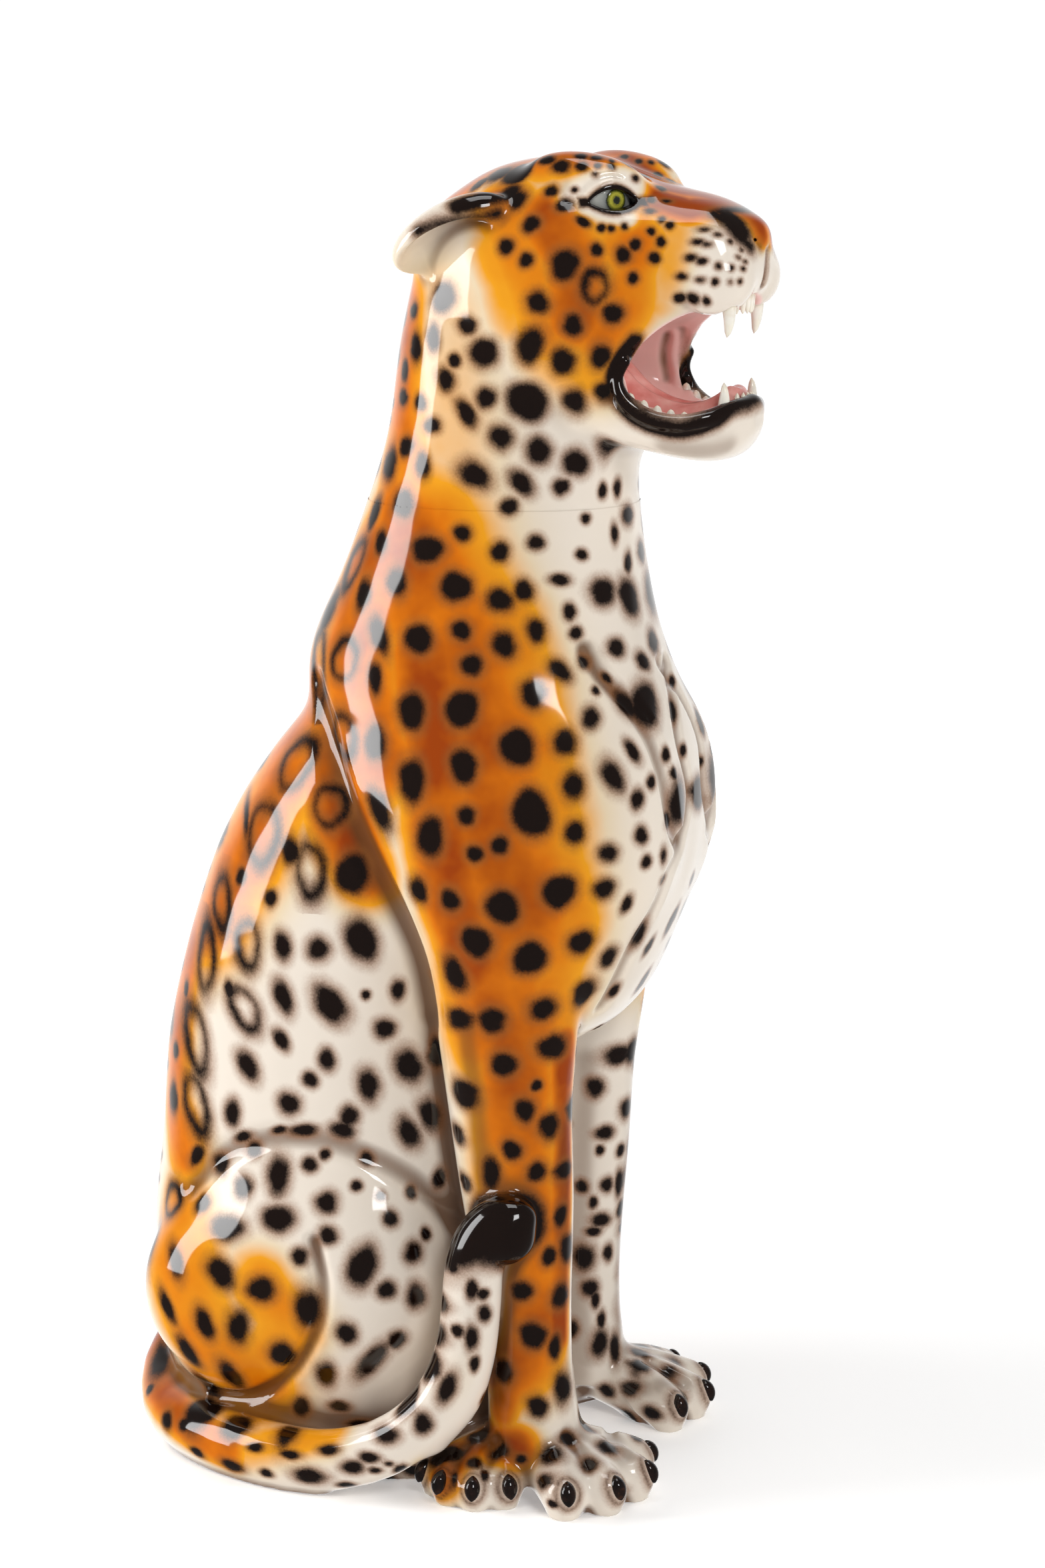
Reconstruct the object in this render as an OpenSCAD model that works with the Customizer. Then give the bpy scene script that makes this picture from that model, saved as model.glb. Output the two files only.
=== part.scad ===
// Seated leopard figure in glazed ceramic: slip-cast hollow shells, luted together before firing,
// with modelled mouth, teeth, eyes and claws.
// Frame: +X is the way the animal faces, +Y its left side, +Z up, origin on the floor under the trunk.
// All sizes are in millimetres.

/* [Casting] */
// Wall of the slip-cast shells
wall = 7.5; // [6:0.5:10]
// Film of slip between two luted pieces
lute = 0.3; // [0.2:0.05:0.6]
// Height of the seam between the body and the head casting
neck_seam = 650; // [640:1:660]
// Height of the seam between the body and the foreleg castings
leg_seam = 290; // [270:1:300]
// Length of the spigot that seats one casting in the next
spigot = 14; // [8:1:20]

/* [Trunk] */
// Back of the seat at the floor
seat_back = -232; // [-245:1:-222]
// Width of the seat at the floor
seat_width = 196; // [180:1:206]
// Height of the rump's fullest point
rump_z = 142; // [130:1:155]
// Back of the rump
rump_back = -262; // [-272:1:-250]
// Width of the trunk at the rump
rump_width = 222; // [205:1:236]
// Height of the loin
loin_z = 292; // [280:1:305]
// Back of the loin
loin_back = -248; // [-258:1:-238]
// Width of the trunk at the loin
loin_width = 202; // [186:1:216]
// Height of the ribs
ribs_z = 415; // [400:1:430]
// Back of the ribs
ribs_back = -211; // [-222:1:-200]
// Width of the trunk at the ribs
ribs_width = 202; // [186:1:216]
// Belly line behind the forelegs
belly_front = 4; // [-6:1:10]

/* [Forequarter] */
// Height of the withers, the hump over the shoulders
withers_z = 540; // [528:1:552]
// Back of the withers
withers_back = -145; // [-154:1:-136]
// Width across the withers
withers_width = 206; // [192:1:218]
// Height of the chest's fullest point
chest_z = 450; // [438:1:462]
// Front of the chest
chest_front = 122; // [114:1:130]
// Width across the shoulders
shoulder_width = 230; // [216:1:242]
// Height of the brisket, the underside of the chest
brisket_z = 298; // [285:1:308]
// Depth of the neck at the seam, front to back
neck_depth = 181; // [172:1:190]
// Width of the neck at the seam
neck_width = 156; // [146:1:166]

/* [Forelegs] */
// Distance between the two forelegs, centre to centre
leg_spacing = 142; // [134:1:150]
// Forward place of the forelegs
leg_x = 18; // [12:1:24]
// Depth of the foreleg at the elbow
elbow_depth = 94; // [88:1:100]
// Depth of the foreleg above the paw
wrist_depth = 58; // [52:1:64]
// Width of the foreleg above the paw
wrist_width = 58; // [52:1:62]
// Height where the foreleg meets its paw
wrist_z = 60; // [54:1:68]
// How far further back the left forepaw stands
left_back = 14; // [0:1:18]
// How far further out the left forepaw stands
left_out = 10; // [0:1:14]

/* [Haunches and feet] */
// Radius of the thigh, seen from the side
thigh_radius = 96; // [88:1:104]
// Width across both thighs
haunch_width = 258; // [246:1:266]
// Forward place of the thigh's centre
thigh_x = -118; // [-126:1:-112]
// Height of the thigh's centre
thigh_z = 138; // [132:1:146]
// Radius of a toe on the forepaws
fore_toe = 17.5; // [16:0.5:19]
// Reach of a forepaw from its middle to the toe tips
forepaw_reach = 75; // [70:1:80]
// Radius of a toe on the hind paws
hind_toe = 15; // [13.5:0.5:16]
// Reach of a hind paw from its middle to the toe tips
hindpaw_reach = 52; // [48:1:56]
// Half length of a claw
claw_half = 7.5; // [6:0.5:8.5]
// Radius of a claw
claw_radius = 4.2; // [3.5:0.1:5]

/* [Tail] */
// Radius of the tail where it lies on the floor
tail_root = 21; // [18:0.5:23]
// Radius of the tail near its tip
tail_tip = 16.5; // [14:0.5:18]
// How far out to the side the tail lies
tail_out = 125; // [121:1:130]

/* [Head] */
// Angle that the head is turned to the right, in degrees
head_turn = 7; // [0:0.5:10]
// Height of the crown
crown_z = 874; // [866:1:880]
// Width across the cheeks
cheek_width = 158; // [148:1:166]
// Front of the muzzle
muzzle_front = 170; // [164:1:176]
// Width of the muzzle
muzzle_width = 90; // [82:1:96]
// Height of the chin's underside
chin_z = 681; // [676:1:685]
// Front of the lower jaw
jaw_front = 165; // [160:1:170]
// Width of the lower jaw at the chin
jaw_width = 78; // [72:1:84]
// Radius of an eyeball
eye_radius = 14; // [12.5:0.5:15]
// Length of an ear
ear_length = 86; // [78:1:92]
// Width of an ear
ear_width = 46; // [42:1:50]

/* [Teeth and tongue] */
// Length of an upper canine below the gum
upper_canine = 22; // [18:0.5:25]
// Length of a lower canine above the gum
lower_canine = 19; // [16:0.5:22]
// Radius of a canine at its root
canine_radius = 5.2; // [4.5:0.1:6]
// Radius of an incisor
incisor_radius = 2.3; // [1.8:0.1:2.6]
// Width of the tongue
tongue_width = 46; // [42:1:50]

/* [Base] */
// Thickness of the slab that closes the seat
slab_t = 10; // [8:0.5:14]
// Diameter of the firing vent in the slab
vent_d = 25; // [15:1:40]

/* [Hidden] */

GLAZE_ORANGE = "#d9861f";
GLAZE_CREAM = "#e9e1d4";
GLAZE_PINK = "#d98a86";
GLAZE_BLACK = "#231815";
EYE_GREEN = "#a9a332";
BISQUE = "#d8c7b0";

// Curves through tables of stations. Each row starts with its station.
function row_before(table, t) = max([0, for (i = [0 : len(table) - 2]) if (table[i][0] <= t) i]);
function hermite(p, q, m, k, s) =
    (2*s*s*s - 3*s*s + 1)*p + (s*s*s - 2*s*s + s)*m + (3*s*s - 2*s*s*s)*q + (s*s*s - s*s)*k;
function along(table, t) =
    let (i = row_before(table, t), n = len(table),
        a = table[max(i - 1, 0)], b = table[i], c = table[i + 1], d = table[min(i + 2, n - 1)],
        span = c[0] - b[0])
    hermite(b, c, (c - a)*span/(c[0] - a[0]), (d - b)*span/(d[0] - b[0]), (t - b[0])/span);
function steps(table, n) =
    [for (k = [0 : n]) along(table, table[0][0] + (table[len(table) - 1][0] - table[0][0])*k/n)];

// A superellipse in turns of 360 degrees: the square root of its squareness shapes the corners.
function bulge(c, square) = sign(c)*pow(abs(c), 2/square);

// One skin over a row of rings that all have the same number of points.
module skin(rings) {
    n = len(rings[0]);
    m = len(rings);
    sides = [for (k = [0 : m - 2], i = [0 : n - 1]) let (j = (i + 1) % n)
        each [[k*n + i, (k + 1)*n + i, (k + 1)*n + j], [k*n + i, (k + 1)*n + j, k*n + j]]];
    floor_face = [for (i = [0 : n - 1]) i];
    roof_face = [for (i = [n - 1 : -1 : 0]) (m - 1)*n + i];
    polyhedron(points = [for (r = rings) each r], faces = concat(sides, [floor_face, roof_face]));
}

// Rings for a form built of level slices: rows of height, back, front and half width.
function level_rings(table, fine, inset, square = 2.2) =
    [for (r = steps(table, fine[0]))
        let (c = (r[1] + r[2])/2, a = (r[2] - r[1])/2 - inset, b = r[3] - inset)
        [for (i = [0 : fine[1] - 1]) let (t = 360*i/fine[1])
            [c + a*bulge(cos(t), square), b*bulge(sin(t), square), r[0]]]];

// Rings for a form built of slices across the head: rows of station, top, bottom and half width.
function cross_rings(table, fine, inset, square = 2.2) =
    [for (r = steps(table, fine[0]))
        let (c = (r[1] + r[2])/2, h = max((r[1] - r[2])/2 - inset, 0.5))
        [for (i = [0 : fine[1] - 1]) let (t = 360*i/fine[1])
            [r[0], max(r[3] - inset, 0.5)*bulge(cos(t), square), c + h*bulge(sin(t), square)]]];

// Rings for a limb of level slices: rows of height, centre x, centre y, half depth and half width.
function limb_rings(table, fine, inset) =
    [for (r = steps(table, fine[0])) [for (i = [0 : fine[1] - 1]) let (t = 360*i/fine[1])
        [r[1] + (r[3] - inset)*cos(t), r[2] + (r[4] - inset)*sin(t), r[0]]]];

// Rings for a tube along a path: rows of a running number, a point and a radius.
// No stretch of the path runs along the tilt, so the rings turn evenly from one to the next.
function unit(v) = v/norm(v);
tilt = [-0.5, 0.5, 0.7];
function tube_rings(table, fine) = let (s = steps(table, fine[0]), count = fine[0], n = fine[1])
    [for (k = [0 : count]) let (
        p = [s[k][1], s[k][2], s[k][3]],
        a = s[max(k - 1, 0)], b = s[min(k + 1, count)],
        d = unit([b[1] - a[1], b[2] - a[2], b[3] - a[3]]),
        side = unit(cross(tilt, d)), up = cross(d, side))
        [for (i = [0 : n - 1]) let (t = 360*i/n) p + s[k][4]*(cos(t)*side + sin(t)*up)]];

// The left piece as modelled, or its mirror image on the right.
module on_side(side) mirror([0, side < 0 ? 1 : 0, 0]) children();

// One piece of clay: the children's cuts and faces become a single smooth-faced shell.
module cast() resize([0, 0, 0]) children();

// Room for everything above, below or beside a plane.
room = 1200;
module above(z) translate([-room/2, -room/2, z]) cube([room, room, room]);
module below(z) translate([-room/2, -room/2, z - room]) cube([room, room, room]);

// Rings and sides of the forms, and of the cavities cast inside them.
trunk_fine = [16, 30];
fore_fine = [22, 28];
leg_fine = [20, 18];
trunk_hollow = [8, 16];
fore_hollow = [12, 16];
leg_hollow = [12, 12];

// Trunk: the sitting body from the floor to the shoulders.
trunk_table = [
    [0, seat_back, belly_front + 4, seat_width/2],
    [rump_z*0.4, (seat_back + rump_back)/2 - 5, belly_front + 7, seat_width/4 + rump_width/4 + 2],
    [rump_z, rump_back, belly_front + 3, rump_width/2],
    [(rump_z + loin_z)/2, (rump_back + loin_back)/2 + 1, belly_front - 4, (rump_width + loin_width)/4 - 1],
    [loin_z, loin_back, belly_front - 5, loin_width/2],
    [ribs_z, ribs_back, belly_front + 8, ribs_width/2],
    [(ribs_z + withers_z)/2, (ribs_back + withers_back)/2 + 3, belly_front + 26, ribs_width/2 - 5],
    [withers_z - 22, withers_back + 6, belly_front + 32, withers_width/2 - 18],
    [withers_z + 22, withers_back + 42, belly_front + 28, withers_width/2 - 46]];
module trunk_form(inset = 0, fine = trunk_fine) skin(level_rings(trunk_table, fine, inset));

// Forequarter: chest, shoulders and neck in one sweep of level slices.
function nape_z(share) = neck_seam + share*(crown_z - neck_seam);
nape_top = nape_z(0.67);
forequarter_table = [
    [brisket_z, leg_x - 28, leg_x + 40, shoulder_width/2 - 64],
    [brisket_z + 27, leg_x - 44, leg_x + 66, shoulder_width/2 - 34],
    [(brisket_z + chest_z)/2 - 8, leg_x - 64, chest_front - 20, shoulder_width/2 - 14],
    [(brisket_z + chest_z)/2 + 32, leg_x - 88, chest_front - 5, shoulder_width/2 - 5],
    [chest_z, leg_x - 114, chest_front, shoulder_width/2],
    [chest_z + 45, withers_back + 19, chest_front - 4, shoulder_width/2 - 2],
    [withers_z - 10, withers_back, chest_front - 16, withers_width/2 + 5],
    [withers_z + 20, withers_back + 4, chest_front - 29, withers_width/2 - 3],
    [(withers_z + neck_seam)/2 + 6, -neck_depth/2 - 31, neck_depth/2 - 7, (withers_width + neck_width)/4 + 1],
    [neck_seam, -neck_depth/2 - 13, neck_depth/2 - 13, neck_width/2],
    [nape_z(0.22), -neck_depth/2 + 3, neck_depth/2 - 15, neck_width/2 - 2],
    [nape_z(0.47), -neck_depth/2 + 12, neck_depth/2 - 24, neck_width/2 - 4],
    [nape_top, -neck_depth/2 + 22, neck_depth/2 - 50, neck_width/2 - 14]];
module forequarter_form(inset = 0, fine = fore_fine) skin(level_rings(forequarter_table, fine, inset));

// Breast: two full muscles with a groove between them, left side.
module breast_form() translate([chest_front - 44, 43, chest_z + 2]) scale([45, 47, 84]) sphere(1, $fn = 22);

// Foreleg: from the shoulder blade to the wrist, left side.
leg_y = leg_spacing/2;
leg_table = [
    [0.4*wrist_z, leg_x + 17, leg_y, wrist_depth/2 + 5, wrist_width/2 + 5],
    [wrist_z, leg_x + 12, leg_y, wrist_depth/2 + 1, wrist_width/2],
    [wrist_z + 50, leg_x + 9, leg_y, wrist_depth/2, wrist_width/2 - 1],
    [(wrist_z + leg_seam)/2 + 25, leg_x + 2, leg_y + 1, wrist_depth/2 + 9, wrist_width/2 + 2],
    [leg_seam - 26, leg_x - 2, leg_y + 5, elbow_depth/2 - 5, wrist_width/2 + 5],
    [leg_seam + 22, leg_x - 2, leg_y + 10, elbow_depth/2, wrist_width/2 + 8],
    [leg_seam + 70, leg_x - 4, leg_y + 13, elbow_depth/2 + 6, wrist_width/2 + 9],
    [leg_seam + 125, leg_x - 18, leg_y + 13, elbow_depth/2 + 18, wrist_width/2 + 10],
    [leg_seam + 190, leg_x - 37, leg_y + 6, elbow_depth/2 + 29, wrist_width/2 + 9],
    [leg_seam + 255, leg_x - 58, leg_y - 16, elbow_depth/2 + 25, wrist_width/2 + 5]];
function lean(side, z) =
    (side > 0 ? max(leg_seam - z, 0)/(leg_seam - wrist_z) : 0)*[-left_back, left_out, 0];
module leg_form(side, inset = 0, fine = leg_fine) on_side(side)
    skin([for (ring = limb_rings(leg_table, fine, inset)) [for (q = ring) q + lean(side, q[2])]]);

// Haunch: the thigh as a full rounded disc, and the folded shank as a lobe behind it, left side.
module haunch_form(inset = 0, sides = 26) {
    depth = 52;
    middle = haunch_width/2 - depth;
    translate([thigh_x, middle, thigh_z])
        scale([thigh_radius - inset, depth - inset, thigh_radius - 2 - inset]) sphere(1, $fn = sides);
    translate([thigh_x - 54, middle - 2, thigh_z - 20])
        scale([thigh_radius - 22 - inset, depth - inset, thigh_radius - 24 - inset]) sphere(1, $fn = sides);
}

// Everything that makes up the outside of the body casting, or its cavity one wall further in.
module body_form() {
    trunk_form();
    forequarter_form();
    for (side = [1, -1]) on_side(side) {
        breast_form();
        haunch_form();
    }
    for (side = [1, -1]) intersection() {
        leg_form(side);
        above(leg_seam);
    }
}
module body_cavity() {
    trunk_form(wall, trunk_hollow);
    intersection() {
        forequarter_form(wall, fore_hollow);
        above(brisket_z + wall);
    }
    for (side = [1, -1]) {
        on_side(side) haunch_form(wall, 14);
        intersection() {
            leg_form(side, wall, leg_hollow);
            above(leg_seam - 1);
        }
    }
}

// The slab lies in a rebate cut round the open seat.
rebate = 3;
module slab_outline(inset)
    polygon([for (p = level_rings(trunk_table, trunk_fine, inset)[0]) [p[0], p[1]]]);

module body_casting() color(GLAZE_ORANGE) cast() difference() {
    body_form();
    body_cavity();
    below(0);
    above(neck_seam);
    translate([0, 0, -1]) linear_extrude(slab_t + lute + 1) slab_outline(wall - rebate);
}

module base_slab() color(BISQUE) difference() {
    linear_extrude(slab_t) slab_outline(wall - rebate + lute);
    translate([(seat_back + belly_front)/2, 0, -1]) cylinder(d = vent_d, h = slab_t + 2, $fn = 64);
}

// Tail: from the rump round the right side, along the floor, then up between thigh and foreleg.
tail_table = [
    [0, rump_back + 24, 8, 66, tail_root - 1],
    [1, rump_back + 13, -22, 40, tail_root],
    [2, rump_back + 30, -64, tail_root + 3, tail_root],
    [3, rump_back + 68, 28 - tail_out, tail_root + 1, tail_root],
    [4, thigh_x - 28, 8 - tail_out, tail_root, tail_root],
    [5, thigh_x + 20, -tail_out, tail_root + 2, tail_root - 0.5],
    [6, thigh_x + 62, -tail_out, tail_root + 15, tail_root - 1],
    [7, leg_x - 42, 2 - tail_out, tail_root + 41, tail_root - 2],
    [8, leg_x - 24, 5 - tail_out, 94, (tail_root + tail_tip)/2],
    [9, leg_x - 16, 8 - tail_out, 128, tail_tip + 1.5],
    [10, leg_x - 14, 11 - tail_out, 160, tail_tip + 0.5],
    [11, leg_x - 10, 12 - tail_out, 184, tail_tip],
    [12, leg_x + 4, 12 - tail_out, 197, tail_tip - 0.5],
    [13, leg_x + 18, 12 - tail_out, 197, tail_tip - 2.5],
    [13.6, leg_x + 27, 12 - tail_out, 194, tail_tip - 8]];
tail_fine = [36, 14];
module tail_form(grow = 0)
    skin(tube_rings([for (r = tail_table) [r[0], r[1], r[2], r[3], r[4] + grow]], tail_fine));

module tail() color(GLAZE_ORANGE) cast() difference() {
    tail_form();
    below(0);
    body_low();
    foreleg_form(-1, lute);
}

// The body's outside with a film of slip on it, where legs, paws and tail lie against it.
module body_low() {
    trunk_form(-lute);
    for (side = [1, -1]) on_side(side) haunch_form(-lute);
}

// Forelegs below the elbow seam, with a hollow spigot that seats in the body
module foreleg_form(side, grow = 0) intersection() {
    leg_form(side, -grow);
    below(leg_seam);
}
module foreleg(side) color(GLAZE_ORANGE) cast() difference() {
    union() {
        foreleg_form(side);
        intersection() {
            leg_form(side, wall + lute, leg_hollow);
            below(leg_seam + spigot);
            above(leg_seam - 2);
        }
    }
    intersection() {
        leg_form(side, 2*wall, leg_hollow);
        above(wrist_z + wall);
    }
    difference() {
        body_low();
        above(leg_seam - lute);
    }
    below(wrist_z);
}

// A paw: four toes in a fan, each swelling from the instep. It points along +X; rows of angle and reach.
toes = [[-45, 1], [-15, 1.02], [15, 0.98], [45, 0.9]];
module paw_form(reach, toe, heel, grow = 0) for (row = toes) let (r = (reach - toe)*row[1]) hull() {
    translate([heel, 0, toe*1.5]) sphere(toe*1.2 + grow, $fn = 12);
    rotate(row[0]) translate([r*0.62, 0, toe*1.2]) sphere(toe*1.02 + grow, $fn = 12);
    rotate(row[0]) translate([r, 0, toe*0.85]) sphere(toe*0.92 + grow, $fn = 12);
}
// The spindle of one claw, and the four of a paw standing on their toe tips
module claw_form(sides, grow) {
    steps = sides > 12 ? 4 : 2;
    half = claw_half + grow;
    radius = claw_radius + grow;
    arc = (half*half + radius*radius)/(2*radius);
    span = asin(half/arc);
    rotate_extrude($fn = sides) polygon([for (k = [-steps : steps]) let (t = span*k/steps)
        [max(arc*cos(t) - arc + radius, 0), arc*sin(t)]]);
}
claw_lean = -24;
module claws_form(reach, toe, sides = 48, grow = 0) for (row = toes) rotate(row[0])
    translate([(reach - toe)*row[1] + toe*0.68, 0, toe*1.15])
        rotate([0, claw_lean, 0]) claw_form(sides, grow);

// Forepaws, turned a little outwards under the wrists
forepaw_turn = 16;
module at_forepaw(side) on_side(side)
    translate([leg_x + 23, leg_y - 1, 0] + (side > 0 ? [-left_back/4, 1.5*left_out, 0] : [0, 0, 0]))
        rotate(forepaw_turn) children();
module forepaw_form(side, grow = 0) at_forepaw(side) paw_form(forepaw_reach, fore_toe, -4, grow);
module forepaw(side) color(GLAZE_CREAM) cast() difference() {
    union() {
        forepaw_form(side);
        foreleg_form(side);
    }
    below(0);
    above(wrist_z);
    at_forepaw(side) claws_form(forepaw_reach, fore_toe, 8, 2*lute);
    body_low();
    if (side < 0) tail_form(lute);
}
module claws_forepaw(side) color(GLAZE_BLACK) at_forepaw(side) claws_form(forepaw_reach, fore_toe);

// Hind paws, turned out to the side behind the forepaws
hindpaw_turn = 96;
module at_hindpaw(side) on_side(side)
    translate([leg_x - 18, leg_y + 11, 0]) rotate(hindpaw_turn) children();
module hindpaw(side) color(GLAZE_CREAM) cast() difference() {
    at_hindpaw(side) paw_form(hindpaw_reach, hind_toe, -16);
    below(0);
    at_hindpaw(side) claws_form(hindpaw_reach, hind_toe, 8, 2*lute);
    body_low();
    foreleg_form(side, lute);
    forepaw_form(side, lute);
    if (side < 0) tail_form(lute);
}
module claws_hindpaw(side) color(GLAZE_BLACK) at_hindpaw(side) claws_form(hindpaw_reach, hind_toe);

// Heights on the head: the face is drawn 193 tall from chin to crown and stretches with its real height.
drawn_height = 193;
tall = (crown_z - chin_z)/drawn_height;
function up(height) = chin_z + height*tall;

// Skull: slices across the head from nape to nose. Ahead of the cheeks its underside is the upper lip.
skull_fine = [24, 28];
skull_hollow = [10, 14];
skull_back = -66;
skull_table = [
    [skull_back, up(139), up(117), 10],
    [-58, up(156), up(71), cheek_width/2 - 34],
    [-40, up(170), up(34), cheek_width/2 - 18],
    [-10, up(186), up(18), cheek_width/2 - 5],
    [30, up(192), up(10), cheek_width/2],
    [64, up(188), up(9), cheek_width/2 - 3],
    [86, up(180), up(20), cheek_width/2 - 12],
    [104, up(174), up(62), muzzle_width/2 + 12],
    [118, up(171), up(80), muzzle_width/2 + 5],
    [muzzle_front - 34, up(167), up(92), muzzle_width/2 - 1],
    [muzzle_front - 16, up(159), up(99), muzzle_width/2 - 8],
    [muzzle_front - 6, up(152), up(105), muzzle_width/2 - 18],
    [muzzle_front - 1, up(143), up(112), 13]];
module skull_form(inset = 0, fine = skull_fine) on_head() skin(cross_rings(skull_table, fine, inset, 2.25));
// Everything on the head turns with it.
module on_head(side = 1) rotate(-head_turn) on_side(side) children();

// Brow ridge over the eye and whisker pad, left side, and the nose: they stand out from the skull.
module face_form() {
    translate([60, 33, up(178)]) rotate([0, 8, -8]) scale([42, 18, 17*tall]) sphere(1, $fn = 18);
    translate([muzzle_front - 27, muzzle_width/2 - 23, up(116)])
        rotate([0, -14, 0]) scale([28, 23, 23*tall]) sphere(1, $fn = 18);
}
module nose_form() translate([muzzle_front - 13, 0, up(145)])
    rotate([0, 26, 0]) scale([16, 18, 12*tall]) sphere(1, $fn = 18);

// Neck inside and under the skull, above the seam
module nape_form(inset = 0, fine = fore_fine) intersection() {
    forequarter_form(inset, fine);
    above(neck_seam - (inset > 0 ? 2 : 0));
}
module head_form() {
    skull_form();
    nape_form();
    for (side = [1, -1]) on_head(side) face_form();
    on_head() nose_form();
}

// The open mouth, as the space it leaves between palate, cheeks and jaw
throat_x = 50;
throat_width = 16;
mouth_table = [
    [throat_x, up(72), up(64), throat_width/2],
    [64, up(84), up(38), tongue_width/2 + 6],
    [88, up(92), up(26), tongue_width/2 + 21],
    [106, up(96), up(22), tongue_width/2 + 20],
    [122, up(102), up(21), tongue_width/2 + 15],
    [jaw_front - 24, up(107), up(22), tongue_width/2 + 8],
    [jaw_front - 11, up(108), up(27), tongue_width/2],
    [jaw_front - 5, up(104), up(46), 10]];
mouth_fine = [12, 16];
module mouth_form(grow = 0) on_head() skin(cross_rings(mouth_table, mouth_fine, -grow, 2.6));

// Eyes look ahead and outwards from under the brow.
eye_pos = [73, 36, up(165)];
module at_eye(side) on_head(side) translate(eye_pos) children();

module head_casting() color(GLAZE_ORANGE) cast() difference() {
    union() {
        head_form();
        intersection() {
            forequarter_form(wall + lute, fore_hollow);
            above(neck_seam - spigot);
            below(neck_seam + 2);
        }
    }
    difference() {
        union() {
            intersection() {
                skull_form(wall, skull_hollow);
                on_head() translate([skull_back + wall, -room/2, 0]) cube(room);
            }
            intersection() {
                forequarter_form(2*wall, fore_hollow);
                above(neck_seam - spigot - 2);
                below(nape_top - wall);
            }
        }
        mouth_form(wall);
        on_head() translate([throat_x, 0, up(68)]) sphere(throat_width/2 + wall, $fn = 12);
        for (side = [1, -1]) at_eye(side) sphere(eye_radius + wall, $fn = 12);
        on_head() translate([muzzle_front - 44, -room/2, 0]) cube(room);
    }
    mouth_form();
    for (side = [1, -1]) {
        at_eye(side) sphere(eye_radius + 1.8*lute, $fn = 18);
        upper_canine_form(side, lute);
    }
    upper_incisors_form(8, 1.7*lute);
}

// Lower jaw: a pressed piece luted under the cheeks, with its trough for the tongue
jaw_table = [
    [20, up(40), up(14), cheek_width/2 - 28],
    [64, up(49), up(9), cheek_width/2 - 22],
    [95, up(54), up(6), jaw_width/2 + 15],
    [109, up(42), up(3), jaw_width/2 + 11],
    [123, up(34), up(1), jaw_width/2 + 7],
    [jaw_front - 24, up(35), up(0), jaw_width/2],
    [jaw_front - 11, up(39), up(5), jaw_width/2 - 9],
    [jaw_front - 3, up(40), up(13), jaw_width/2 - 21],
    [jaw_front, up(36), up(22), jaw_width/2 - 30]];
jaw_fine = [14, 20];
module jaw_form() on_head() skin(cross_rings(jaw_table, jaw_fine, 0, 2.5));
module lower_jaw() color(GLAZE_CREAM) cast() difference() {
    jaw_form();
    head_form();
    mouth_form();
    for (side = [1, -1]) {
        lower_canine_form(side, lute);
        lower_molars_form(side, 8, 1.7*lute);
    }
    lower_incisors_form(8, 1.7*lute);
}

// Tongue: comes down the throat, lies in the jaw's trough and lifts its tip behind the teeth.
tongue_table = [
    [56, up(76), up(58), tongue_width/2 - 9],
    [66, up(68), up(36), tongue_width/2 - 2],
    [87, up(47), up(18), tongue_width/2],
    [114, up(37), up(16), tongue_width/2],
    [jaw_front - 28, up(42), up(16), tongue_width/2 - 2],
    [jaw_front - 17, up(51), up(20), tongue_width/2 - 6],
    [jaw_front - 11, up(48), up(28), tongue_width/2 - 12]];
tongue_fine = [14, 16];
module tongue() color(GLAZE_PINK) cast() difference() {
    intersection() {
        on_head() skin(cross_rings(tongue_table, tongue_fine, 0, 2.3));
        mouth_form(-lute);
    }
    for (side = [1, -1]) lower_canine_form(side, lute);
    lower_incisors_form(8, 1.7*lute);
}

// A canine: a curved, tapering tooth. It grows from its root along +Z and bends towards +X.
canine_root = 7;
canine_bend = 0.16;
module canine_form(length, radius, grow) {
    whole = length + canine_root;
    rings = 7;
    sides = 12;
    skin([for (k = [0 : rings]) let (s = k/rings, r = radius*sqrt(max(1 - s*s, 0.01)) + grow,
        lift = k == 0 ? -grow : (k == rings ? grow : 0))
        [for (i = [0 : sides - 1]) let (t = 360*i/sides)
            [canine_bend*whole*s*s + r*cos(t), 0.85*r*sin(t), s*whole + lift]]]);
}
module upper_canine_form(side, grow = 0) on_head(side)
    translate([muzzle_front - 19, muzzle_width/2 - 21, up(103) + canine_root])
        mirror([0, 0, 1]) rotate([0, 8, 0]) mirror([1, 0, 0]) canine_form(upper_canine*tall, canine_radius, grow);
module lower_canine_form(side, grow = 0) on_head(side)
    translate([jaw_front - 17, jaw_width/2 - 15, up(32) - canine_root])
        rotate([0, 4, 0]) mirror([1, 0, 0]) canine_form(lower_canine*tall, canine_radius*0.9, grow);
module upper_canine(side) color(GLAZE_CREAM) cast() upper_canine_form(side);
module lower_canine(side) color(GLAZE_CREAM) cast() lower_canine_form(side);

// A small tooth: a round-ended peg standing on its root
module peg(radius, height, sides, grow) {
    r = radius + grow;
    step = sides > 12 ? 18 : 45;
    dome = [for (t = [0 : step : 72]) [r*cos(t), height - radius + r*sin(t)]];
    rotate_extrude($fn = sides) polygon(concat([[0, -grow], [r, -grow]], dome, [[0, height + grow]]));
}

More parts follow.
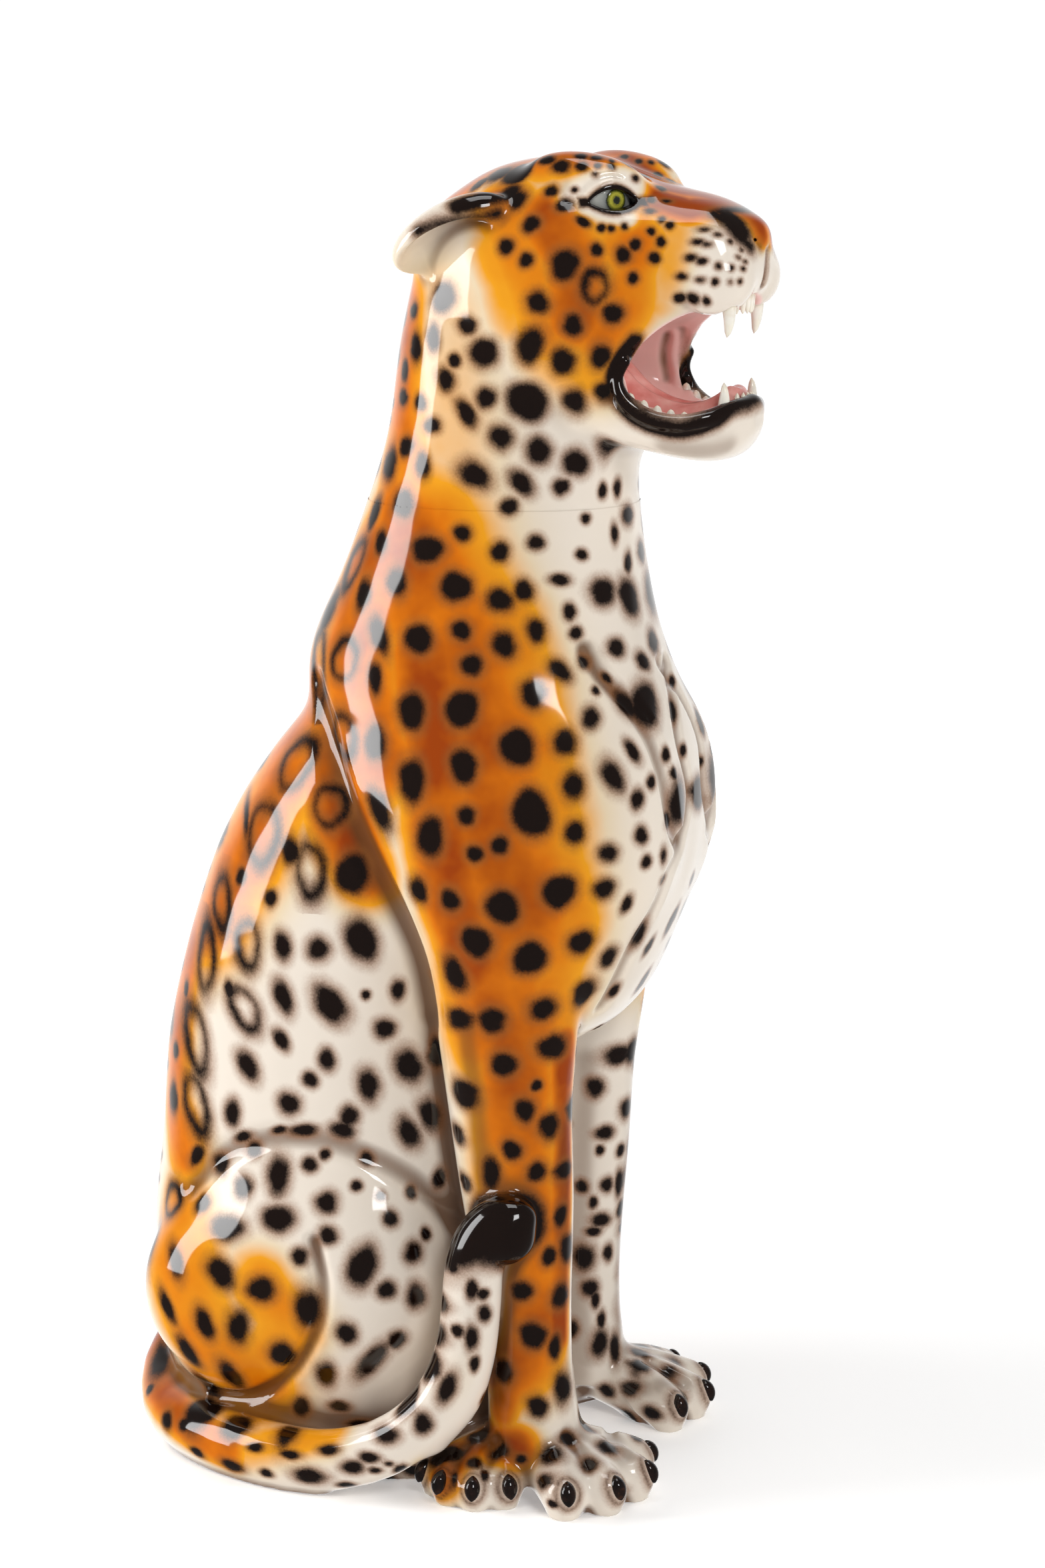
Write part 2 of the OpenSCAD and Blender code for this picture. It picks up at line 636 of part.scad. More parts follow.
// Incisors stand in a shallow arc between the canines.
incisors = 6;
incisor_pitch = 2*incisor_radius + 0.5;
arc_sag = 0.02;
function incisor_y(k) = (k - (incisors - 1)/2)*incisor_pitch;
module upper_incisors_form(sides = 32, grow = 0) on_head() for (k = [0 : incisors - 1]) let (y = incisor_y(k))
    translate([muzzle_front - 13 - arc_sag*y*y, y, up(110)])
        mirror([0, 0, 1]) peg(incisor_radius, 16, sides, grow);
module lower_incisors_form(sides = 32, grow = 0) on_head() for (k = [0 : incisors - 1]) let (y = incisor_y(k))
    translate([jaw_front - 7 - arc_sag*y*y, y, up(30)]) peg(incisor_radius, 15, sides, grow);
module upper_incisors() color(GLAZE_CREAM) upper_incisors_form();
module lower_incisors() color(GLAZE_CREAM) lower_incisors_form();

// Molars: low pegs along the jaw's inner rim, five a side
molars = 5;
module lower_molars_form(side, sides = 32, grow = 0) on_head(side)
    for (k = [0 : molars - 1]) let (s = k/(molars - 1))
        translate([jaw_front - 29 - 40*s, jaw_width/2 - 7 + 14*s, up(24 + 12*s*s)])
            peg(incisor_radius*1.2, 11, sides, grow);
module lower_molars(side) color(GLAZE_CREAM) lower_molars_form(side);

// Ears: cupped leaves laid back along the head, hollow side down and out
ear_root = [12, cheek_width/2 - 18, up(159)];
module ear_form() translate(ear_root) rotate([-48, 28, 170]) difference() {
    translate([ear_length/2 - 8, 0, 0]) scale([ear_length/2, ear_width/2, 17]) sphere(1, $fn = 24);
    translate([ear_length/2 - 2, 2, -14]) scale([ear_length/2 - 6, ear_width/2 - 4, 21]) sphere(1, $fn = 22);
}
module ear(side) color(GLAZE_CREAM) cast() difference() {
    on_head(side) ear_form();
    skull_form(-lute);
    nape_form(-lute);
}

module eye(side) color(EYE_GREEN) at_eye(side) sphere(eye_radius, $fn = 48);

body_casting();
head_casting();
lower_jaw();
tongue();
ear(1);  // ear_left
ear(-1);  // ear_right
eye(1);  // eye_left
eye(-1);  // eye_right
upper_canine(1);  // upper_canine_left
upper_canine(-1);  // upper_canine_right
lower_canine(1);  // lower_canine_left
lower_canine(-1);  // lower_canine_right
upper_incisors();
lower_incisors();
lower_molars(1);  // lower_molars_left
lower_molars(-1);  // lower_molars_right
foreleg(1);  // foreleg_left
foreleg(-1);  // foreleg_right
forepaw(1);  // forepaw_left
forepaw(-1);  // forepaw_right
hindpaw(1);  // hindpaw_left
hindpaw(-1);  // hindpaw_right
claws_forepaw(1);  // claws_forepaw_left
claws_forepaw(-1);  // claws_forepaw_right
claws_hindpaw(1);  // claws_hindpaw_left
claws_hindpaw(-1);  // claws_hindpaw_right
tail();
base_slab();
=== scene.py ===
import math

import bpy
import numpy as np
import openvdb
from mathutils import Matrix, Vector


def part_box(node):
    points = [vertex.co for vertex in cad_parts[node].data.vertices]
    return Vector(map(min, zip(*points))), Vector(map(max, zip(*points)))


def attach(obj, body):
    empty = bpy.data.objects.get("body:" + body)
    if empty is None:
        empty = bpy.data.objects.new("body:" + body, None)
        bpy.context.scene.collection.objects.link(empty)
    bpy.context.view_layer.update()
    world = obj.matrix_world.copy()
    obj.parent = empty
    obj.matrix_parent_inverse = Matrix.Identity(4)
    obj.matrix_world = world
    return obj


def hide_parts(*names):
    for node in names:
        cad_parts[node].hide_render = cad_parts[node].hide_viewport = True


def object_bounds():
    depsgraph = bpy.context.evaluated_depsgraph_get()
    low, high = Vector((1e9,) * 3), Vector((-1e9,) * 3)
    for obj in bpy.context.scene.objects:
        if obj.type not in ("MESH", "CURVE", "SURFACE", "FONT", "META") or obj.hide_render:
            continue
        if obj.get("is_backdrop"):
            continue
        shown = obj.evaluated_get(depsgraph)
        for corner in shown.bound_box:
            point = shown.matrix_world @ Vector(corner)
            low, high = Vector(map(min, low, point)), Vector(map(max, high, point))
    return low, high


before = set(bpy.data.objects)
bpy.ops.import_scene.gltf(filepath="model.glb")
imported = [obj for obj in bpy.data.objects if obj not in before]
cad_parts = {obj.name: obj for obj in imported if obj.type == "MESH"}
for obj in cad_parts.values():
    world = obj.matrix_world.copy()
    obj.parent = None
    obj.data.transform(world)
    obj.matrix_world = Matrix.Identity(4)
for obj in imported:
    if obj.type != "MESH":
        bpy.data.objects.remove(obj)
cad_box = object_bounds()

# Body casting of a seated leopard, with its forelegs, paws and tail: hollow earthenware, slip-cast in
# plaster moulds. The pieces are luted together while damp and the seams sponged over, so that one skin
# runs across them.
MM = 0.001  # sizes are in millimetres, the scene is in metres
SEAM = 1.0  # the slip that fills a joint
CASTINGS = ["body_casting", "base_slab", "head_casting", "lower_jaw", "eye_left", "eye_right"]
LIMBS = ["tail", "foreleg_left", "foreleg_right", "forepaw_left", "forepaw_right", "hindpaw_left",
         "hindpaw_right"]
CLAWS = ["claws_forepaw_left", "claws_forepaw_right", "claws_hindpaw_left", "claws_hindpaw_right"]


def casting(name):
    """A CAD node's points in millimetres and the corners of its triangles."""
    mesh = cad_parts[name].data
    mesh.calc_loop_triangles()
    points = np.empty(3*len(mesh.vertices), np.float32)
    mesh.vertices.foreach_get("co", points)
    corners = np.empty(3*len(mesh.loop_triangles), np.int32)
    mesh.loop_triangles.foreach_get("vertices", corners)
    return points.reshape(-1, 3)/MM, corners.reshape(-1, 3)


def turned(points, degrees):
    """Points turned about the upright axis."""
    c, s = math.cos(math.radians(degrees)), math.sin(math.radians(degrees))
    return points @ np.array([[c, s, 0], [-s, c, 0], [0, 0, 1]])


def unit(vectors):
    """Vectors of length one."""
    vectors = np.asarray(vectors, float)
    return vectors/np.maximum(np.linalg.norm(vectors, axis=-1, keepdims=True), 1e-9)


def smooth_step(low, high, value):
    """0 at low and 1 at high, with a soft change between."""
    t = np.clip((value - low)/(high - low), 0, 1)
    return t*t*(3 - 2*t)


def curve(points, steps=6):
    """A smooth line through given points."""
    p = np.array(points, float)
    p = np.vstack([2*p[0] - p[1], p, 2*p[-1] - p[-2]])
    t = np.linspace(0, 1, steps, endpoint=False)[:, None]
    out = [0.5*(2*b + (c - a)*t + (2*a - 5*b + 4*c - d)*t**2 + (3*b - a - 3*c + d)*t**3)
           for a, b, c, d in zip(p, p[1:], p[2:], p[3:])]
    return np.vstack(out + [p[-2:-1]])


def line_distance(x, y, z, path):
    """Distance of points from a line of points."""
    best = np.inf
    for a, b in zip(path[:-1], path[1:]):
        along = b - a
        t = ((x - a[0])*along[0] + (y - a[1])*along[1] + (z - a[2])*along[2])/max(along @ along, 1e-9)
        t = np.clip(t, 0, 1)
        best = np.minimum(best, (x - a[0] - t*along[0])**2 + (y - a[1] - t*along[1])**2
                          + (z - a[2] - t*along[2])**2)
    return np.sqrt(best)


def level_set(points, voxel, reach, **faces):
    """Signed distances to a mesh, in a band that reaches so many millimetres to either side of it."""
    faces = {kind: np.ascontiguousarray(f, np.uint32) for kind, f in faces.items()}
    return openvdb.FloatGrid.createLevelSetFromPolygons(
        np.ascontiguousarray(points, np.float32), halfWidth=reach/voxel,
        transform=openvdb.createLinearTransform(voxelSize=voxel), **faces)


def luted(names, voxel):
    """The outside of some castings as one skin: the films of slip between them close.

    The lump is mirrored in the floor, so that softening it doesn't lift its edge there, and the
    firing vent is plugged, so that the hollow inside counts as clay.
    """
    points, corners, count = [], [], 0
    for name in names:
        p, c = casting(name)
        for flip in (1, -1):
            points.append(p*(1, 1, flip))
            corners.append(c + count)
            count += len(p)
    low, high = (np.array(corner)/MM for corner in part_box("base_slab"))
    middle, half = (low + high)/2, (high - low)*(0.35, 0.35, 0.8)
    signs = np.array([(i, j, k) for i in (-1, 1) for j in (-1, 1) for k in (-1, 1)])
    points.append(middle*(1, 1, 0) + half*signs)
    corners.append(count + np.array([(0, 1, 3), (0, 3, 2), (4, 6, 7), (4, 7, 5), (0, 4, 5), (0, 5, 1),
                                     (2, 3, 7), (2, 7, 6), (0, 2, 6), (0, 6, 4), (1, 5, 7), (1, 7, 3)]))
    lump = level_set(np.vstack(points), voxel, 3*voxel, triangles=np.vstack(corners))
    skin, _, quads = lump.convertToPolygons(isovalue=SEAM, adaptivity=0.0)
    return skin, quads


class Clay:
    """A lump of clay as a grid of signed distances in millimetres, negative inside."""

    def __init__(self, low, high, voxel):
        self.voxel = voxel
        self.start = np.floor(np.array(low)/voxel).astype(int)
        self.size = np.ceil(np.array(high)/voxel).astype(int) - self.start + 1
        self.axes = [((self.start[k] + np.arange(self.size[k]))*voxel).astype(np.float32) for k in range(3)]

    def distance(self, points, reach, **faces):
        """Signed distances to a mesh all over this grid, cut off at reach."""
        out = np.full(self.size, reach, np.float32)
        level_set(points, self.voxel, reach, **faces).copyToArray(out, ijk=tuple(int(s) for s in self.start))
        return out

    def soften(self, width, height):
        """The distances averaged over so many millimetres across and up: three runs of an even average."""
        out = self.depth
        for axis, spread in enumerate((width, width, height)):
            half = max(int(round(spread/self.voxel - 0.05)), 1)
            pads = [(half + 1, half) if k == axis else (0, 0) for k in range(3)]
            for _ in range(3):
                padded = np.pad(out, pads, mode="edge")
                total = np.moveaxis(np.cumsum(padded, axis=axis), axis, 0)
                total = (total[2*half + 1:] - total[:-2*half - 1])/np.float32(2*half + 1)
                out = np.moveaxis(total, 0, axis)
        return np.ascontiguousarray(out)

    def near(self, low, high):
        """The grid inside a box: its slices, and its x, y and z."""
        cut = tuple(slice(*np.searchsorted(self.axes[k], (low[k], high[k]))) for k in range(3))
        x, y, z = (self.axes[k][cut[k]] for k in range(3))
        return cut, x[:, None, None], y[None, :, None], z[None, None, :]

    def stroke(self, path, radius, height):
        """A rounded ridge along a line of points, or a groove where the height is negative."""
        path = np.array(path, float)
        cut, x, y, z = self.near(path.min(0) - radius, path.max(0) + radius)
        fall = np.clip(1 - (line_distance(x, y, z, path)/radius)**2, 0, 1)
        self.depth[cut] -= (height*fall*fall).astype(np.float32)

    def pat(self, distance, low, high, blend):
        """Adds a form given by its distance, with a soft join."""
        cut, x, y, z = self.near(low, high)
        form = distance(x, y, z)
        h = np.clip(0.5 + 0.5*(self.depth[cut] - form)/blend, 0, 1)
        self.depth[cut] = self.depth[cut]*(1 - h) + form*h - blend*h*(1 - h)

    def carve(self, distance, low, high, blend):
        """Takes away a form given by its distance, with a soft edge."""
        cut, x, y, z = self.near(low, high)
        form = -distance(x, y, z)
        h = np.clip(0.5 + 0.5*(form - self.depth[cut])/blend, 0, 1)
        self.depth[cut] = self.depth[cut]*(1 - h) + form*h + blend*h*(1 - h)

    def flank(self, x, z, side):
        """The point of the skin at this place of one side, seen from there."""
        i, k = (int(round(v/self.voxel)) - int(self.start[a]) for v, a in ((x, 0), (z, 2)))
        inside = np.flatnonzero(self.depth[i, :, k] < 0)
        j = inside[-1] if side > 0 else inside[0]
        return np.array([x, self.axes[1][j], z])

    def mesh(self):
        """The skin as points and quads that face outwards."""
        grid = openvdb.FloatGrid()
        grid.copyFromArray(self.depth)
        grid.transform = openvdb.createLinearTransform(voxelSize=self.voxel)
        points, _, quads = grid.convertToPolygons(isovalue=0.0, adaptivity=0.0)
        return points + self.start*self.voxel, quads.astype(np.int64)

    def at(self, points, field=None):
        """The distance, or another field of this grid, at some points."""
        field = self.depth if field is None else field
        place = points/self.voxel - self.start
        base = np.clip(np.floor(place).astype(int), 0, np.array(field.shape) - 2)
        f = np.clip(place - base, 0, 1)
        total = 0
        for i in (0, 1):
            for j in (0, 1):
                for k in (0, 1):
                    w = np.abs(1 - i - f[:, 0])*np.abs(1 - j - f[:, 1])*np.abs(1 - k - f[:, 2])
                    total = total + w*field[base[:, 0] + i, base[:, 1] + j, base[:, 2] + k]
        return total

    def slope(self, points):
        """Unit outward normals of the skin at some points."""
        steps = self.voxel*np.eye(3)
        return unit(np.stack([self.at(points + s) - self.at(points - s) for s in steps], axis=1))


NECK_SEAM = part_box("body_casting")[1].z/MM
CHEST = 140
skin, skin_quads = luted(CASTINGS + LIMBS + CLAWS, 1.5)
low, high = (np.array(corner)/MM for corner in cad_box)
room = (low[0] - 8, low[1] - 8, -30), (CHEST, high[1] + 8, NECK_SEAM + 40)
body = Clay(*room, voxel=2.0)
body.depth = body.distance(skin, 10, quads=skin_quads) + np.float32(SEAM)
assert body.at(np.array([(-100.0, 0.0, 300.0)]))[0] < 0, "the hollow of the casting is open"
broad, fine = body.soften(width=9, height=11), body.soften(width=2, height=4)
slender = Clay(*room, voxel=8.0)
limbs = np.min([slender.distance(p, 40, triangles=c) for p, c in map(casting, LIMBS)], axis=0)
places = np.stack(np.meshgrid(*body.axes, indexing="ij"), axis=-1).reshape(-1, 3)
share = smooth_step(4, 30, slender.at(places, limbs)).astype(np.float32).reshape(body.size)
body.depth = broad*share + fine*(1 - share)
del broad, fine, share, places

# Folds of the body: behind the shoulder, over the thigh and round the folded shank.
# The plaster mould gives them to the casting; they are sharpened with a loop tool while it is damp.
SHOULDER_FOLD = [(-120, 532), (-99, 484), (-70, 425), (-42, 370), (-32, 322)]
THIGH_ANGLES = np.radians((25, 50, 75, 100, 125, 148))
THIGH_FOLD = [(-118 + 103*math.cos(a), 138 + 98*math.sin(a)) for a in THIGH_ANGLES]
SHANK_FOLD = [(-104, 172), (-97, 142), (-103, 112), (-124, 78), (-154, 54), (-186, 46)]
for side in (1, -1):
    for fold, radius, height in ((SHOULDER_FOLD, 15, -4.0), (THIGH_FOLD, 13, -3.0), (SHANK_FOLD, 8, -4.2)):
        body.stroke(curve([body.flank(x, z, side) for x, z in fold]), radius, height)

# Head casting, slip-cast like the body and luted into its neck, with the lower jaw and the ears, which are
# pressed from solid clay. The face is worked up by hand while damp: brows, lids, nostrils, lips and gums.
HEAD_TURN = 7
room = (-128, -98, NECK_SEAM - 40), (186, 98, 888)
head = Clay(*room, voxel=1.25)
head.depth = head.distance(turned(skin, HEAD_TURN), 8, quads=skin_quads) + np.float32(SEAM)
assert head.at(np.array([(0.0, 0.0, 780.0)]))[0] < 0, "the hollow of the head is open"
x, y, z = head.axes[0][:, None, None], head.axes[1][None, :, None], head.axes[2][None, None, :]
neck = (1 - smooth_step(685, 735, z))*(1 - smooth_step(70, 100, x))
mouth = smooth_step(70, 95, x)*smooth_step(690, 700, z)*(1 - smooth_step(775, 800, z))
broad, middle = head.soften(width=9, height=11), head.soften(width=4.5, height=4.5)
close = head.soften(width=1.3, height=1.3)
head.depth = (broad*neck + middle*(1 - neck))*(1 - mouth) + close*mouth
ears, ear_quads = luted(["ear_left", "ear_right"], 1.25)
leaves = Clay(*room, voxel=1.25)
leaves.depth = leaves.distance(turned(ears, HEAD_TURN), 8, quads=ear_quads) + np.float32(SEAM)
leaf = leaves.soften(width=1.3, height=1.3)
EAR_BLEND = 6
join = np.clip(0.5 + 0.5*(head.depth - leaf)/EAR_BLEND, 0, 1)
head.depth = head.depth*(1 - join) + leaf*join - EAR_BLEND*join*(1 - join)
del broad, middle, close, leaf, leaves, join, neck, mouth

EYE_RADIUS = 19.5
LID_HALF, LID_TOP, LID_LOW = 15.5, 8.5, 5.2
LID_SKIN, LID_DROP = 2.4, 2.5
eyes = {}
for side in (1, -1):
    look, ahead = unit((0.707, side*0.707, 0.05)), unit((0.707, -side*0.707, 0))
    rise = np.cross(look, ahead)*(-side)
    rise *= np.sign(rise[2])
    ball = np.array((72, side*35, 846)) - 4*look
    eyes[side] = ball, look, ahead, rise

    def lid_shell(x, y, z):
        return np.sqrt((x - ball[0])**2 + (y - ball[1])**2 + (z - ball[2])**2) - EYE_RADIUS - LID_SKIN

    def slit(x, y, z):
        dx, dy, dz = x - ball[0], y - ball[1], z - ball[2]
        u, v, w = (dx*axis[0] + dy*axis[1] + dz*axis[2] for axis in (ahead, rise, look))
        s = np.clip(1 - (u/LID_HALF)**2, 0, 1)
        return np.maximum(np.maximum(v + LID_DROP - LID_TOP*s**0.9, -LID_LOW*s - v - LID_DROP), 8 - w)

    head.pat(lid_shell, ball - 26, ball + 26, blend=6)
    head.carve(slit, ball - 26, ball + 26, blend=0.8)

    def on_lid(u, v):
        w = math.sqrt((EYE_RADIUS + LID_SKIN)**2 - u*u - v*v)
        return ball + u*ahead + v*rise + w*look

    def upper_edge(u):
        return LID_TOP*(1 - (u/LID_HALF)**2)**0.9

    def lower_edge(u):
        return -LID_LOW*(1 - (u/LID_HALF)**2)

    spread = np.linspace(-15, 15, 9)
    head.stroke([on_lid(u, upper_edge(u) - 1.5) for u in spread], radius=3.6, height=1.2)
    head.stroke([on_lid(u, lower_edge(u) - 3.5) for u in spread], radius=3.4, height=1.2)
    head.stroke([on_lid(1.05*u, upper_edge(u) + 4) for u in spread], radius=4.2, height=-1.6)
    head.stroke([on_lid(u, lower_edge(u) - 8.5) for u in spread], radius=4.2, height=-1.2)
    head.stroke([on_lid(14, -3), on_lid(19, -8)], radius=3.2, height=-1.6)

    nostril, nostril_half = np.array((160, side*12, 821)), (6, 4, 3.4)

    def nostril_form(x, y, z):
        offsets = (x - nostril[0], y - nostril[1], z - nostril[2])
        return np.sqrt(sum((d/half)**2 for d, half in zip(offsets, nostril_half)))*3.6 - 3.6

    head.carve(nostril_form, nostril - 12, nostril + 12, blend=1.5)
    head.stroke([(148, side*17, 834), (155, side*17.5, 826), (161, side*15, 814)], radius=4.5, height=-2.0)
    lip = curve([(96, side*53, 746), (92, side*55, 737), (93, side*55, 728), (99, side*53, 719),
                 (113, side*49.5, 711), (130, side*44, 709), (145, side*36, 712), (153, side*24, 716),
                 (158, side*10, 718), (159, 0, 718)])
    corner = lip[0]

    def lip_roll(x, y, z):
        from_corner = np.sqrt((x - corner[0])**2 + (y - corner[1])**2 + (z - corner[2])**2)
        return line_distance(x, y, z, lip) - 2.2 - 3.0*smooth_step(4, 26, from_corner)

    head.pat(lip_roll, lip.min(0) - 16, lip.max(0) + 16, blend=6)
    edge = curve([(103, side*51, 757), (120, side*46, 768), (136, side*39, 776), (150, side*29, 781)])
    head.stroke(edge, radius=6, height=1.6)
head.stroke(curve([(171, 0, 814), (170, 0, 804), (167, 0, 794)]), radius=4.5, height=-3.0)

# The coat: amber, orange and dark brown underglaze colours, airbrushed by hand over cream slip and fired
# under a clear gloss. Its marks are given in pixels of the photograph. The side that the
# photograph doesn't show has their mirror image, and loose spots fill what neither covers.
CAMERA, HEADING, PITCH = np.array((717.8, -2209.3, 905.2)), 18.0, 10.82
LENS, MIDDLE, PHOTO_HEIGHT = 5349.0, (784, 1176), 2352
PIXELS_PER_MM = 2.3
REACHES = np.arange(1950, 2650, 1.5)
h, p = math.radians(HEADING), math.radians(PITCH)
RIGHT = np.array((math.cos(h), math.sin(h), 0))
AHEAD = np.array((-math.sin(h)*math.cos(p), math.cos(h)*math.cos(p), -math.sin(p)))
UP = np.cross(RIGHT, AHEAD)
dice = np.random.default_rng(7)


def on_head(points):
    """Which points belong to the head casting."""
    return points[:, 2] > NECK_SEAM


def to_skin(points):
    """Distances from the skin of the whole figure."""
    return np.where(on_head(points), head.at(turned(points, HEAD_TURN)), body.at(points))


def facing(points):
    """Outward normals of the skin of the whole figure."""
    upper = turned(head.slope(turned(points, HEAD_TURN)), -HEAD_TURN)
    return np.where(on_head(points)[:, None], upper, body.slope(points))


def rays(places):
    """Lines of sight through places in the photograph, one focal length long."""
    u, v = (np.array(places, float) - MIDDLE).T[:, :, None]
    return LENS*AHEAD + u*RIGHT - v*UP


def sight(places):
    """Where the lines of sight through places in the photograph meet the skin."""
    lines = unit(rays(places))
    steps = CAMERA + REACHES[None, :, None]*lines[:, None, :]
    depth = to_skin(steps.reshape(-1, 3)).reshape(len(lines), -1)
    first = np.where((depth < 0).any(1), (depth < 0).argmax(1), depth.argmin(1))
    return steps[np.arange(len(lines)), first]


def crossing(places, y):
    """Where lines of sight through places in the photograph cross an upright plane along the figure."""
    lines = rays(places)
    return CAMERA + lines*((y - CAMERA[1])/lines[:, 1:2])


def folded(points):
    """Points of the left side brought over to the right, across the middle, which turns with the head."""
    turn = np.radians(HEAD_TURN*smooth_step(NECK_SEAM - 90, NECK_SEAM + 30, points[:, 2]))
    leftward = np.stack([np.sin(turn), np.cos(turn), 0*turn], axis=1)
    beyond = np.maximum((points*leftward).sum(1), 0)
    return points - 2*beyond[:, None]*leftward


def tooled(clay, turn, places, radius, height, sides=(1, -1)):
    """A line drawn in the damp clay through places in the photograph, and its mirror image."""
    path = turned(curve(sight(places)), turn)
    for side in sides:
        clay.stroke(path*(1, side, 1), radius, height)


def tail_end(x, y, z):
    """The standing end of the tail, as a distance."""
    return line_distance(x, y, z, tip) - TAIL_RADIUS


TAIL_PLACES = [(640, 2140), (680, 2092), (700, 2028), (707, 1953), (712, 1900), (730, 1863), (760, 1853)]
TAIL_Y, TAIL_RADIUS = -114, 18.8
tip = curve(crossing(TAIL_PLACES, TAIL_Y))
tip_low, tip_high = tip.min(0) - 40, tip.max(0) + 40
body.pat(tail_end, tip_low, tip_high, blend=5)
BREAST_GROOVES = [
    (11, -5.0, [(880, 975), (905, 1015), (945, 1055), (975, 1100), (1000, 1170), (1012, 1235),
                (1020, 1262)]),
    (8, -3.0, [(1000, 990), (1010, 1050), (1020, 1120), (1034, 1190), (1022, 1255)]),
    (9, -2.5, [(1018, 1268), (1006, 1310), (980, 1370), (940, 1440), (905, 1510)])]
TOE_GROOVES = [
    [(883, 2203), (866, 2175), (850, 2151)], [(940, 2184), (916, 2152), (892, 2122)],
    [(977, 2151), (955, 2126), (935, 2104)], [(1025, 2075), (998, 2058), (973, 2042)],
    [(1001, 2104), (972, 2084), (944, 2066)], [(732, 2198), (746, 2160)], [(680, 2203), (699, 2165)]]
MOUTH_FOLDS = [
    (6, -1.8, [(1002, 503), (997, 531), (1002, 566)]), (5, 1.8, [(1013, 500), (1009, 532), (1014, 570)]),
    (6, -1.8, [(1024, 496), (1022, 538), (1028, 572)])]
for radius, height, places in BREAST_GROOVES:
    tooled(body, 0, places, radius, height)
for places in TOE_GROOVES:
    tooled(body, 0, places, radius=7, height=-3.0, sides=(1,))
for radius, height, places in MOUTH_FOLDS:
    tooled(head, HEAD_TURN, places, radius, height)

# The finished skin of clay: a body and a head that overlap by a hair at the neck, where the slip is wiped
# flat. Painted shade darkens the hollows: each point's shade is how far it lies below its surroundings.
OVER_SEAM, UNDER_SEAM = 1.0, 0.6
soft = body.soften(width=8, height=8)
body.depth = np.maximum(body.depth, -body.axes[2][None, None, :])
lower, lower_quads = body.mesh()
lower_quads = lower_quads[lower[lower_quads, 2].mean(1) < NECK_SEAM + OVER_SEAM]
lower_shade = -body.at(lower, soft)
soft = head.soften(width=4, height=4)
face, face_quads = head.mesh()
face_quads = face_quads[face[face_quads, 2].mean(1) > NECK_SEAM - UNDER_SEAM]
face_shade = -1.6*head.at(face, soft)
points = np.vstack([lower, turned(face, -HEAD_TURN)])
quads = np.vstack([lower_quads, face_quads + len(lower)])
normals = np.vstack([body.slope(lower), turned(head.slope(face), -HEAD_TURN)])
shade = np.hstack([lower_shade, face_shade])
# Beside the root of the tail the painted shade is taken away.
shade[(points[:, 0] < -225) & (points[:, 1] > -35) & (points[:, 2] < 95)] = 0
NO_SPOT, SOFT_EDGE, MIDDLE_STRIP = 30.0, 12, 26
twin, twin_normals = folded(points), normals*np.where(points[:, 1:2] > 0, (1, -1, 1), 1)
spot, coat = np.full(len(points), NO_SPOT), np.zeros(len(points))
order = points[:, 2].argsort()
heights = points[order, 2]
placed = []


def close_to(cloud, low, high):
    """The numbers of the points of a cloud inside a box."""
    found = order[slice(*np.searchsorted(heights, (low[2], high[2])))]
    return found[((cloud[found] > low) & (cloud[found] < high)).all(1)]


def dab(cloud, faced, place, normal, size, lean=0, hollow=False):
    """One spot: where an uneven egg of colour meets the skin, its sizes across, up and along the view."""
    reach = max(size) + SOFT_EDGE
    found = close_to(cloud, place - reach, place + reach)
    offset = cloud[found] - place
    c, s = math.cos(math.radians(lean)), math.sin(math.radians(lean))
    across, up = offset @ (c*RIGHT - s*UP)/size[0], offset @ (s*RIGHT + c*UP)/size[1]
    radius = np.sqrt(across**2 + up**2 + (offset @ AHEAD/size[2])**2)
    angle, wave = np.arctan2(up, across), dice.uniform(0, 2*math.pi, 3)
    uneven = sum(k*np.cos(n*angle + w) for k, n, w in zip((0.06, 0.04, 0.02), (2, 3, 5), wave))
    depth = (radius - 1 - uneven)*min(size[:2])*np.clip(7/min(size[:2]), 1, 2.6)
    if hollow:
        depth = np.abs(depth - 0.3) - 1.8 - 0.8*np.cos(angle + wave[0])
    depth += 8*smooth_step(0.3, -0.3, faced[found] @ normal)
    spot[found] = np.minimum(spot[found], depth)


def mark(u, v, wide, tall=None, lean=0):
    """A spot's place, half width, half height and lean, as the photograph shows them."""
    return u, v, wide, tall or wide, lean


def spots(rows, hollow=False):
    """Spots of the right side, which the left side repeats where it is clear of the middle."""
    rows = [mark(*row) for row in rows]
    where = sight([row[:2] for row in rows])
    for (_, _, wide, tall, lean), place, normal in zip(rows, where, facing(where)):
        size = np.array((wide, tall))/PIXELS_PER_MM
        deep = 1.15*size.max()
        slant = np.array((normal @ RIGHT, normal @ UP))/max(-normal @ AHEAD, 0.3)
        size = 1/np.sqrt(np.maximum(1/size**2 - slant**2/deep**2, 0.3/deep**2))
        double = abs(place[1]) > MIDDLE_STRIP and np.allclose(place, folded(place[None])[0])
        cloud, faced = (twin, twin_normals) if double else (points, normals)
        dab(cloud, faced, place, normal, (*size, deep), lean, hollow)
        placed.append((*place, size.max()))
        if double:
            placed.append((*(place*(1, -1, 1)), size.max()))


def line(path, radius, cloud):
    """A stroke of dark colour along a path in space."""
    reach = radius + SOFT_EDGE
    found = close_to(cloud, path.min(0) - reach, path.max(0) + reach)
    spot[found] = np.minimum(spot[found], line_distance(*cloud[found].T, path) - radius)


def spray(level, radius, places, layer, erase=False):
    """A pass of the airbrush on both sides, through places in the photograph or in space."""
    path = folded(sight(places) if len(places[0]) == 2 else np.array(places, float))
    found = close_to(twin, path.min(0) - 2*radius, path.max(0) + 2*radius)
    cover = np.exp(-0.8*(line_distance(*twin[found].T, path)/radius)**3)
    layer[found] = layer[found]*(1 - level*cover) if erase else np.maximum(layer[found], level*cover)


